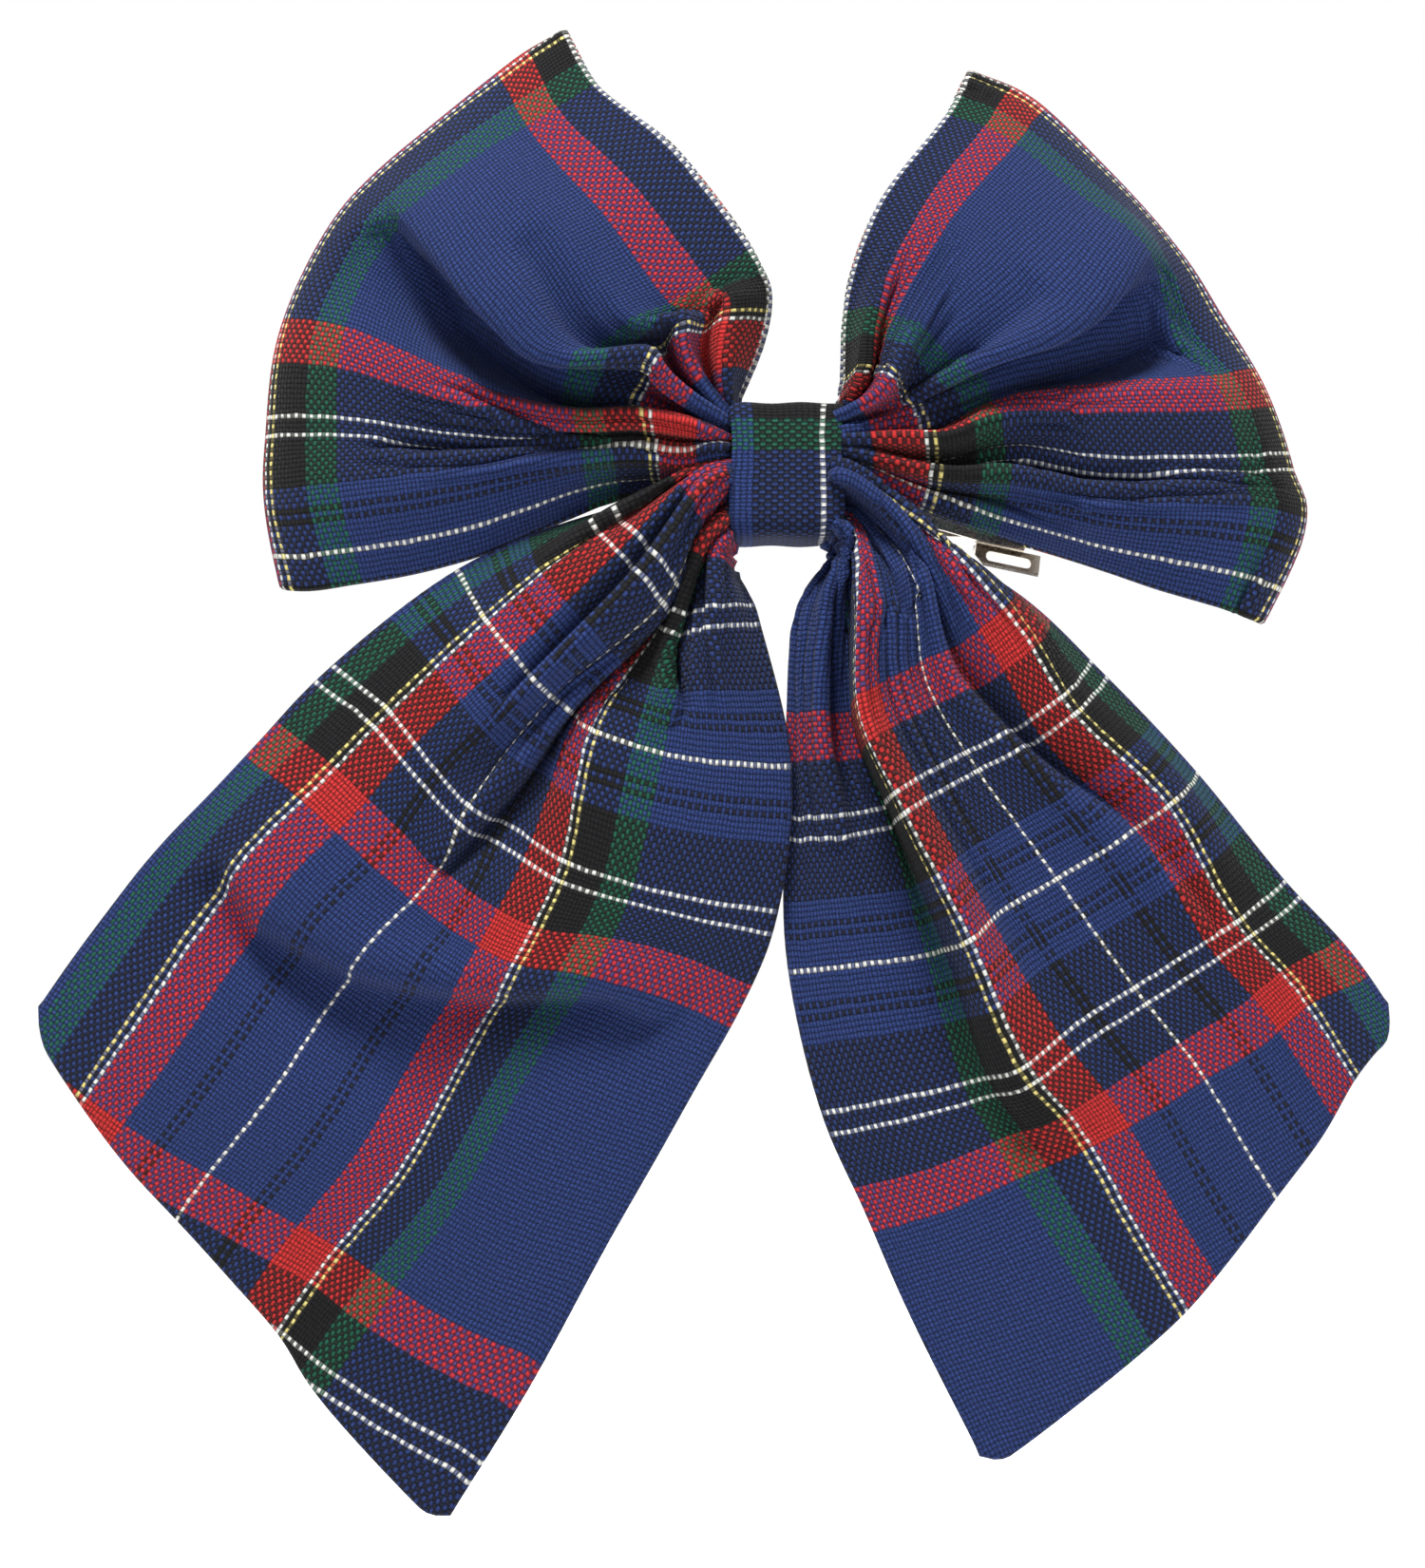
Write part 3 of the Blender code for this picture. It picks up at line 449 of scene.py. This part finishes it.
def springs(shape):
    """Pairs of grid slices: threads both ways, shear across the cells and bending."""
    rows, columns = shape
    found = []

    def add(step_row, step_column, stiffness):
        groups = 2 if max(abs(step_row), abs(step_column)) == 1 else 4
        for k in range(groups):
            lanes = []
            for step, size in ((step_row, rows), (step_column, columns)):
                lanes.append((max(0, -step), size - max(0, step)))
            main = 0 if step_row else 1
            index = []
            for axis, (low, high) in enumerate(lanes):
                picks = np.arange(low, high)
                if axis == main:
                    picks = picks[picks % groups == k]
                index.append(picks)
            first = np.ix_(*index)
            second = np.ix_(index[0] + step_row, index[1] + step_column)
            found.append((first, second, stiffness))

    add(1, 0, 1.0)
    add(0, 1, 1.0)
    add(1, 1, 0.25)
    add(1, -1, 0.25)
    add(2, 0, 0.3)
    add(0, 2, 0.3)
    return found


def settle(points, flat, from_knot):
    """Relaxes a sheet to the lengths of its flat cut, and draws it to where it was laid."""
    hold = HOLD + PINNED_HOLD * (1.0 - smooth_step(*PINNED, from_knot))
    target = points.copy()
    links = []
    for first, second, stiffness in springs(points.shape[:2]):
        rest = np.linalg.norm(flat[second] - flat[first], axis=2)
        links.append((first, second, rest, stiffness))
    for _ in range(SETTLE_ROUNDS):
        for link in links:
            pull(points, *link)
        points += (target - points) * hold[..., None]
    return points


def tuck_in(points, from_knot):
    """Keeps what lies under the band inside it."""
    covered = np.abs(points[..., 0] - BAND_MIDDLE[0]) < BAND_WIDTH / 2.0
    inside = covered & (from_knot < BAND_REACH)
    depth = np.clip(points[..., 1], *BAND_INSIDE_Y)
    height = points[..., 2] - BAND_MIDDLE[2]
    height = np.clip(height, -BAND_INSIDE_HALF_HEIGHT, BAND_INSIDE_HALF_HEIGHT) + BAND_MIDDLE[2]
    points[..., 1] = np.where(inside, depth, points[..., 1])
    points[..., 2] = np.where(inside, height, points[..., 2])


def fold(points, along, across, line, lift, lift_width, drop, drop_width):
    """Folds the cloth along a line of (along, across) places: forward by lift on the line's left
    and back by drop on its right, each fading over its own width."""
    line = np.asarray(line, float)
    reach = np.full(along.shape, 1e9)
    side = np.ones(along.shape)
    share = np.zeros(along.shape)
    for k in range(len(line) - 1):
        start, end = line[k], line[k + 1]
        step = end - start
        length = np.hypot(*step)
        u, v = along - start[0], across - start[1]
        f = np.clip((u * step[0] + v * step[1]) / length**2, 0.0, 1.0)
        away = np.hypot(u - f * step[0], v - f * step[1])
        closer = away < reach
        reach = np.where(closer, away, reach)
        side = np.where(closer, np.sign(u * step[1] - v * step[0]), side)
        share = np.where(closer, (k + f) / (len(line) - 1), share)
    fade = np.sin(np.clip(share, 0.0, 1.0) * math.pi) ** 0.5
    right = 0.5 + 0.5 * np.tanh(side * reach / FOLD_EDGE)
    back = drop * np.exp(-((reach / drop_width) ** 2))
    forward = lift * np.exp(-((reach / lift_width) ** 2))
    points[..., 1] += fade * (back * right - forward * (1.0 - right))


def fold_all(points, flat, folds, share):
    """Makes a share of each fold in a sheet."""
    for line, lift, lift_width, drop, drop_width in folds:
        sizes = (lift * share, lift_width, drop * share, drop_width)
        fold(points, flat[..., 0], flat[..., 1], line, *sizes)


def lay_and_settle(points, flat, from_knot, folds):
    """Folds a sheet, lets it settle and keeps its end under the band."""
    fold_all(points, flat, folds, FOLD_BEFORE)
    points = settle(points, flat, from_knot)
    fold_all(points, flat, folds, FOLD_AFTER)
    tuck_in(points, from_knot)
    return points


def grid_normals(points):
    """The sheet's normal at each point of the grid."""
    down = np.gradient(points, axis=0)
    across = np.gradient(points, axis=1)
    normals = np.cross(down, across)
    return normals / (np.linalg.norm(normals, axis=2, keepdims=True) + 1e-12)


def mesh_piece(name, points_mm, faces, uv, mat):
    """A mesh object with its place in the weave, in mm of cloth, as its UV map."""
    mesh = bpy.data.meshes.new(name)
    mesh.from_pydata((np.asarray(points_mm) * MM).tolist(), [], faces)
    mesh.validate()
    layer = mesh.uv_layers.new(name="weave")
    corners = np.empty(len(mesh.loops), dtype=np.int32)
    mesh.loops.foreach_get("vertex_index", corners)
    layer.data.foreach_set("uv", np.asarray(uv, dtype=np.float32)[corners].ravel())
    mesh.shade_smooth()
    mesh.materials.append(mat)
    obj = bpy.data.objects.new(name, mesh)
    bpy.context.scene.collection.objects.link(obj)
    return obj


def thick_sheet(name, points, weave, half, mat):
    """A closed sheet with a rolled edge, round the grid of points."""
    rows, columns = points.shape[:2]
    normals = grid_normals(points)
    flat_count = rows * columns
    index = np.arange(flat_count).reshape(rows, columns)
    rim = np.concatenate([index[0, :-1], index[:-1, -1], index[-1, :0:-1], index[:0:-1, 0]])
    surface = points.reshape(-1, 3)
    inward = points.copy()
    inward[0], inward[-1] = points[1], points[-2]
    inward[:, 0], inward[:, -1] = points[:, 1], points[:, -2]
    inward[0, 0], inward[0, -1] = points[1, 1], points[1, -2]
    inward[-1, 0], inward[-1, -1] = points[-2, 1], points[-2, -2]
    out = surface - inward.reshape(-1, 3)
    out = out[rim] / (np.linalg.norm(out[rim], axis=1, keepdims=True) + 1e-9)
    swell = np.full((rows, columns), half)
    swell[0], swell[-1], swell[:, 0], swell[:, -1] = (half * EDGE_ROLL,) * 4
    offset = (normals * swell[..., None]).reshape(-1, 3)
    front, back = surface + offset, surface - offset
    edge = surface[rim] + out * half * EDGE_ROLL
    corners = [index[:-1, :-1], index[:-1, 1:], index[1:, 1:], index[1:, :-1]]
    quads = np.stack(corners, axis=2).reshape(-1, 4)
    after = np.roll(rim, -1)
    spine = np.arange(len(rim)) + 2 * flat_count
    spine_after = np.roll(spine, -1)
    front_rim = np.stack([rim, spine, spine_after, after], axis=1)
    back_rim = np.stack([rim + flat_count, after + flat_count, spine_after, spine], axis=1)
    faces = np.concatenate([quads[:, ::-1], quads + flat_count, front_rim[:, ::-1], back_rim[:, ::-1]])
    uv = weave.reshape(-1, 2)
    all_points = np.concatenate([front, back, edge])
    all_uv = np.concatenate([uv, uv, uv[rim]])
    return mesh_piece(name, all_points, faces.tolist(), all_uv, mat)


# Materials


def principled(name):
    """A new material with its nodes, its links and its shader."""
    mat = bpy.data.materials.new(name)
    mat.use_nodes = True
    tree = mat.node_tree
    return mat, tree.nodes, tree.links, tree.nodes["Principled BSDF"]


def math_node(nodes, links, operation, *values):
    """The output of a Math node, with numbers or other outputs as its inputs."""
    node = nodes.new("ShaderNodeMath")
    node.operation = operation
    for socket, value in zip(node.inputs, values):
        if isinstance(value, (int, float)):
            socket.default_value = value
        else:
            links.new(value, socket)
    return node.outputs[0]


def sett_colour(nodes, links, sett, pitch, centre, coordinate):
    """The thread's colour at a coordinate, the place in thread widths and the thread's number."""
    total = sum(count for _, count in sett)
    place = math_node(nodes, links, "MULTIPLY_ADD", coordinate, 1.0 / pitch, 0.5 - centre / pitch)
    number = math_node(nodes, links, "FLOOR", place)
    turned = math_node(nodes, links, "PINGPONG", number, total - 0.5)
    share = math_node(nodes, links, "MULTIPLY_ADD", turned, 1.0 / total, 0.5 / total)
    ramp = nodes.new("ShaderNodeValToRGB")
    ramp.color_ramp.interpolation = "CONSTANT"
    links.new(share, ramp.inputs[0])
    stops = ramp.color_ramp.elements
    start = 0
    for k, (name, count) in enumerate(sett):
        stop = stops[k] if k < 2 else stops.new(start / total)
        stop.position = start / total
        stop.color = (*YARN[name], 1.0)
        start += count
    return ramp.outputs[0], place, number


def wandering_weave(nodes, links, uv):
    """The place in the weave, along and across, with the threads' wander."""
    wobble = nodes.new("ShaderNodeTexNoise")
    wobble.inputs["Scale"].default_value = WOBBLE_SCALE
    wobble.inputs["Detail"].default_value = 2.0
    links.new(uv, wobble.inputs["Vector"])
    shift = nodes.new("ShaderNodeVectorMath")
    shift.operation = "MULTIPLY_ADD"
    shift.inputs[1].default_value = (WOBBLE, WOBBLE, 0.0)
    links.new(wobble.outputs["Color"], shift.inputs[0])
    links.new(uv, shift.inputs[2])
    split = nodes.new("ShaderNodeSeparateXYZ")
    links.new(shift.outputs[0], split.inputs[0])
    return split.outputs[0], split.outputs[1]


def thread_round(nodes, links, place):
    """How high a round thread stands, at a place in thread widths."""
    angle = math_node(nodes, links, "MULTIPLY", place, math.pi)
    wave = math_node(nodes, links, "SINE", angle)
    return math_node(nodes, links, "ABSOLUTE", wave)


def thread_on_top(nodes, links, own, other):
    """The height of a thread that crosses over another, round and dipping at both ends."""
    dip = math_node(nodes, links, "POWER", other, THREAD_DIP)
    return math_node(nodes, links, "MULTIPLY", own, dip)


def weave_height(nodes, links, over, l_place, t_place):
    """The height of the plain weave: whichever thread is on top."""
    l_round = thread_round(nodes, links, l_place)
    t_round = thread_round(nodes, links, t_place)
    height = nodes.new("ShaderNodeMix")
    links.new(over, height.inputs[0])
    links.new(thread_on_top(nodes, links, l_round, t_round), height.inputs[2])
    links.new(thread_on_top(nodes, links, t_round, l_round), height.inputs[3])
    return height.outputs[0]


def yarn_tone_and_gap_shade(nodes, links, uv, height):
    """How light the yarn looks: its own tone, uneven along the thread, times painted shade that
    darkens the gaps between threads.
    """
    fuzz = nodes.new("ShaderNodeTexNoise")
    fuzz.inputs["Scale"].default_value = FUZZ_SCALE
    fuzz.inputs["Detail"].default_value = 4.0
    links.new(uv, fuzz.inputs["Vector"])
    slub = math_node(nodes, links, "MULTIPLY_ADD", fuzz.outputs[0], FUZZ, FUZZ_BASE)
    # Painted shade: darker where a thread is low, in the gaps between threads
    rise = math_node(nodes, links, "POWER", height, GAP_SHADE_POWER)
    gap = math_node(nodes, links, "MULTIPLY_ADD", rise, GAP_SHADE_RANGE, GAP_SHADE_BASE)
    return math_node(nodes, links, "MULTIPLY", slub, gap)


def tartan_material():
    """Plain-woven cotton, read from the UV map in mm of cloth."""
    mat, nodes, links, shader = principled("tartan_cotton")
    uv_map = nodes.new("ShaderNodeUVMap")
    uv_map.uv_map = "weave"
    uv = uv_map.outputs[0]
    along, across = wandering_weave(nodes, links, uv)
    l_color, l_place, l_number = sett_colour(nodes, links, L_SETT, L_PITCH, L_CENTRE, along)
    t_color, t_place, t_number = sett_colour(nodes, links, T_SETT, T_PITCH, T_CENTRE, across)

    both = math_node(nodes, links, "ADD", l_number, t_number)
    even = math_node(nodes, links, "MODULO", math_node(nodes, links, "ABSOLUTE", both), 2.0)
    over = math_node(nodes, links, "GREATER_THAN", even, 0.5)
    mix = nodes.new("ShaderNodeMix")
    mix.data_type = "RGBA"
    links.new(math_node(nodes, links, "MULTIPLY_ADD", over, 1.0 - 2.0 * BLEED, BLEED), mix.inputs[0])
    links.new(l_color, mix.inputs[6])
    links.new(t_color, mix.inputs[7])

    height = weave_height(nodes, links, over, l_place, t_place)
    # The colour times the yarn's own uneven tone and the painted shade in the gaps
    shade = nodes.new("ShaderNodeVectorMath")
    shade.operation = "SCALE"
    links.new(mix.outputs[2], shade.inputs[0])
    links.new(yarn_tone_and_gap_shade(nodes, links, uv, height), shade.inputs["Scale"])
    links.new(shade.outputs[0], shader.inputs["Base Color"])

    bump = nodes.new("ShaderNodeBump")
    bump.inputs["Strength"].default_value = 0.85
    bump.inputs["Distance"].default_value = BUMP_HEIGHT
    links.new(height, bump.inputs["Height"])
    links.new(bump.outputs[0], shader.inputs["Normal"])
    shader.inputs["Roughness"].default_value = 0.88
    shader.inputs["Specular IOR Level"].default_value = 0.14
    shader.inputs["Sheen Weight"].default_value = 0.03
    shader.inputs["Sheen Roughness"].default_value = 0.5
    return mat


def metal_material(name, color, roughness):
    """Metal with a slightly uneven polish."""
    mat, nodes, links, shader = principled(name)
    shader.inputs["Base Color"].default_value = (*color, 1.0)
    shader.inputs["Metallic"].default_value = 1.0
    place = nodes.new("ShaderNodeTexCoord")
    noise = nodes.new("ShaderNodeTexNoise")
    noise.inputs["Scale"].default_value = 900.0
    links.new(place.outputs["Object"], noise.inputs["Vector"])
    spread = nodes.new("ShaderNodeMapRange")
    spread.inputs["To Min"].default_value = roughness * 0.8
    spread.inputs["To Max"].default_value = roughness * 1.3
    links.new(noise.outputs[0], spread.inputs[0])
    links.new(spread.outputs[0], shader.inputs["Roughness"])
    return mat


def plain_material(name, color, roughness):
    mat, _, _, shader = principled(name)
    shader.inputs["Base Color"].default_value = (*color, 1.0)
    shader.inputs["Roughness"].default_value = roughness
    return mat


# Cloth pieces


def soft(obj, nodes):
    """Puts a cloth piece on the bow's body and hides the CAD parts that it stands for."""
    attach(obj, "bow")
    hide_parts(*nodes)


def grid_lines(length):
    """Evenly spaced places along a length, about a grid step apart."""
    return np.linspace(0.0, length, int(length / GRID_STEP) + 1)


def loop_back(net):
    """The rows behind the outer fold, from the front's rows in turn."""
    fold_y = net[-1][1][0][2]
    back = []
    for place, row in reversed(net[:-1]):
        turned = []
        for x, z, y in row:
            behind = fold_y + (fold_y - y) * LOOP_BACK_DEPTH
            turned.append((x * LOOP_BACK_SIZE, z * LOOP_BACK_SIZE + LOOP_BACK_RISE, behind))
        back.append((2.0 * LOOP_FOLD - place, turned))
    return back


def make_loop(name, net, mat, seed, folds):
    """A loop: out from the knot to the outer fold and back behind, as one sheet."""
    rng = np.random.default_rng(seed)
    length = 2.0 * LOOP_FOLD
    across = grid_lines(LOOP_HEIGHT)
    along = grid_lines(length)[:, None] * np.ones(len(across))
    from_knot = np.minimum(along, length - along)
    flat = np.stack([along, np.broadcast_to(across, along.shape)], axis=2)
    points = net_surface(net + loop_back(net), LOOP_COLUMNS, along, across)
    points = add_pleats(points, from_knot, across, LOOP_PLEAT, LOOP_PLEAT_FADE, rng)
    points = lay_and_settle(points, flat, from_knot, folds)
    weave = np.stack([L_CENTRE + flat[..., 0], flat[..., 1] + LOOP_WEAVE_ACROSS], axis=2)
    obj = thick_sheet(name, points, weave, PLY_HALF, mat)
    soft(obj, [f"{name}_face", f"{name}_lining"])
    return obj


def make_tail(name, net, mat, seed, pleat, short_side, skew, weave_start, folds):
    """A tail with a slanting end: short_side long at one edge, and longer by skew across."""
    rng = np.random.default_rng(seed)
    across = grid_lines(TAIL_WIDTH)
    end = short_side + skew * across
    end -= TAIL_CORNER * np.clip(1.0 - across / SHORT_CORNER_WIDTH, 0.0, 1.0) ** 2
    end -= TAIL_CORNER * np.clip(1.0 - (TAIL_WIDTH - across) / LONG_CORNER_WIDTH, 0.0, 1.0) ** 2
    share = np.linspace(0.0, 1.0, int(end.max() / GRID_STEP) + 1)
    along = share[:, None] * end[None, :]
    flat = np.stack([along, np.broadcast_to(across, along.shape)], axis=2)
    points = net_surface(net, TAIL_COLUMNS, along, across)
    points = add_pleats(points, along, across, pleat, TAIL_PLEAT_FADE, rng)
    points = lay_and_settle(points, flat, along, folds)
    start, way = weave_start
    weave = np.stack([flat[..., 1] + TAIL_WEAVE_ACROSS, start + way * flat[..., 0]], axis=2)
    obj = thick_sheet(name, points, weave, PLY_HALF, mat)
    soft(obj, [f"{name}_face", f"{name}_lining"])
    return obj


def band_ring(sides):
    """The band's outline in y and z, its outward directions and the run from the top."""
    angle = np.linspace(0.0, 2.0 * math.pi, sides, endpoint=False) - math.pi / 2.0
    power = 2.0 / BAND_ROUNDNESS
    ring_y = -np.sign(np.cos(angle)) * np.abs(np.cos(angle)) ** power * BAND_HALF_DEPTH
    ring_z = -np.sign(np.sin(angle)) * np.abs(np.sin(angle)) ** power * BAND_HEIGHT / 2.0
    ring = np.stack([ring_y, ring_z], axis=1)
    after, before = np.roll(ring, -1, axis=0), np.roll(ring, 1, axis=0)
    steps = np.linalg.norm(after - ring, axis=1)
    run = np.concatenate([[0.0], np.cumsum(steps)[:-1]])
    out = np.stack([after[:, 1] - before[:, 1], before[:, 0] - after[:, 0]], axis=1)
    out /= np.linalg.norm(out, axis=1, keepdims=True)
    if (out * ring).sum() < 0.0:
        out = -out
    return ring, out, run, float(steps.sum())


def band_profile():
    """The strip's section as (x, inset): a slightly uneven face, rolled edges and a flat back."""
    half = BAND_WIDTH / 2.0
    profile = []
    for x in np.linspace(-half + 0.5, half - 0.5, 18):
        profile.append((x, 0.12 * math.sin(x * 0.7)))
    profile += [(half - 0.12, -0.16), (half, -0.55), (half - 0.3, -0.95)]
    profile += [(0.0, -1.1), (-half + 0.3, -0.95), (-half, -0.55), (-half + 0.12, -0.16)]
    return profile


def make_band(mat):
    """The folded strip round the waist, a ring with rolled edges."""
    sides = 160
    ring, out, run, length = band_ring(sides)
    profile = band_profile()
    count = len(profile)
    points, weave = [], []
    for k in range(sides):
        for x, inset in profile:
            lean = 0.25 * math.sin(run[k] * 0.35) * (2.0 * x / BAND_WIDTH)
            y, z = ring[k] + out[k] * inset
            points.append(BAND_MIDDLE + np.array([x + lean, y, z]))
            weave.append((BAND_WEAVE[0] + run[k], BAND_WEAVE[1] + x * BAND_WEAVE_SPREAD))
    faces = []
    for k in range(sides):
        here, following = k * count, (k + 1) % sides * count
        for j in range(count):
            n = (j + 1) % count
            faces.append([here + j, here + n, following + n, following + j])
    obj = mesh_piece("band_wrap", points, faces, weave, mat)
    soft(obj, ["centre_band"])
    return obj


# Stage and camera


def range_node(tree, source, from_range, to_range):
    """Maps an output smoothly from one range to another."""
    node = tree.nodes.new("ShaderNodeMapRange")
    node.interpolation_type = "SMOOTHSTEP"
    node.inputs["From Min"].default_value = from_range[0]
    node.inputs["From Max"].default_value = from_range[1]
    node.inputs["To Min"].default_value = to_range[0]
    node.inputs["To Max"].default_value = to_range[1]
    tree.links.new(source, node.inputs[0])
    return node.outputs[0]


def make_floor():
    """A pale floor that glows a little away from the bow, so that it looks white."""
    mat, nodes, links, shader = principled("pale_floor")
    shader.inputs["Base Color"].default_value = (0.92, 0.92, 0.92, 1.0)
    shader.inputs["Roughness"].default_value = 0.9
    shader.inputs["Emission Color"].default_value = (1.0, 1.0, 1.0, 1.0)
    place = nodes.new("ShaderNodeTexCoord")
    away = nodes.new("ShaderNodeVectorMath")
    away.operation = "DISTANCE"
    away.inputs[1].default_value = GLOW_CENTRE
    links.new(place.outputs["Object"], away.inputs[0])
    glow = range_node(mat.node_tree, away.outputs["Value"], GLOW_REACH, (0.0, FLOOR_GLOW))
    links.new(glow, shader.inputs["Emission Strength"])
    corners = []
    for x, y in ((-1, -1), (1, -1), (1, 1), (-1, 1)):
        corners.append((x * FLOOR_HALF, y * FLOOR_HALF, FLOOR_Z))
    mesh = bpy.data.meshes.new("floor")
    mesh.from_pydata(corners, [], [[0, 1, 2, 3]])
    mesh.materials.append(mat)
    floor = bpy.data.objects.new("floor", mesh)
    bpy.context.scene.collection.objects.link(floor)


def make_world():
    """Soft white light, stronger from behind. Seen directly, it is white all round."""
    world = bpy.data.worlds.new("studio")
    world.use_nodes = True
    bpy.context.scene.world = world
    tree = world.node_tree
    background = tree.nodes["Background"]
    background.inputs["Color"].default_value = (1.0, 1.0, 1.0, 1.0)
    place = tree.nodes.new("ShaderNodeTexCoord")
    split = tree.nodes.new("ShaderNodeSeparateXYZ")
    tree.links.new(place.outputs["Generated"], split.inputs[0])
    light = range_node(tree, split.outputs[1], WORLD_REACH, WORLD_LIGHT)
    seen = tree.nodes.new("ShaderNodeLightPath").outputs["Is Camera Ray"]
    strength = math_node(tree.nodes, tree.links, "MAXIMUM", light, seen)
    tree.links.new(strength, background.inputs["Strength"])


def make_lamps():
    for name, place, size, power in LAMPS:
        light = bpy.data.lights.new(name, "AREA")
        light.shape = "DISK"
        light.size = size
        light.energy = power
        lamp = bpy.data.objects.new(name, light)
        lamp.location = place
        aim = Vector((AIM * MM).tolist()) - lamp.location
        lamp.rotation_euler = aim.to_track_quat("-Z", "Y").to_euler()
        bpy.context.scene.collection.objects.link(lamp)


def make_camera():
    data = bpy.data.cameras.new("camera")
    data.sensor_fit = "HORIZONTAL"
    data.sensor_width = SENSOR
    data.lens = SENSOR * CAMERA_DISTANCE / FIELD_WIDTH
    data.clip_start = CLIP_START
    camera = bpy.data.objects.new("camera", data)
    camera.location = (CAMERA * MM).tolist()
    camera.rotation_euler = Vector(LOOK.tolist()).to_track_quat("-Z", "Y").to_euler()
    bpy.context.scene.collection.objects.link(camera)
    bpy.context.scene.camera = camera


# The clip and the sewing threads, as the CAD makes them


def dress_node(name, mat):
    """Gives a CAD part its material and smooth shading."""
    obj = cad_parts[name]
    obj.data.materials.clear()
    obj.data.materials.append(mat)
    obj.data.shade_smooth()
    return obj


def dress_metal(name, mat):
    """Dresses a metal part, with small bevels that catch the light."""
    obj = dress_node(name, mat)
    bevel = obj.modifiers.new("edges", "BEVEL")
    bevel.width = BEVEL
    bevel.segments = 2
    bevel.limit_method = "ANGLE"
    normals = obj.modifiers.new("normals", "WEIGHTED_NORMAL")
    normals.keep_sharp = True


bpy.context.scene.view_settings.view_transform = "Standard"
make_floor()
make_world()
make_lamps()
make_camera()
tartan = tartan_material()
nickel = metal_material("clip_nickel", (0.52, 0.47, 0.40), 0.26)
spring = metal_material("clip_spring", (0.46, 0.45, 0.43), 0.30)
cotton = plain_material("sewing_thread", (0.03, 0.04, 0.10), 0.8)
make_loop("left_loop", LEFT_LOOP, tartan, 3, LEFT_LOOP_FOLDS)
make_loop("right_loop", RIGHT_LOOP, tartan, 5, RIGHT_LOOP_FOLDS)
make_tail("left_tail", LEFT_TAIL, tartan, 7, 19.0, 145.0, 0.335, LEFT_TAIL_WEAVE, LEFT_TAIL_FOLDS)
make_tail("right_tail", RIGHT_TAIL, tartan, 9, 25.0, 137.5, 0.345, RIGHT_TAIL_WEAVE, RIGHT_TAIL_FOLDS)
make_band(tartan)
for part in (
    "base_plate", "hinge_pin", "lever", "clasp_saddle", "clasp_rivet",
    "clasp_wing_upper", "clasp_wing_lower",
):
    dress_metal(part, nickel)
dress_metal("tension_blade", spring)
for part in ("gather_thread", "band_stitches"):
    dress_node(part, cotton)

bpy.context.view_layer.update()
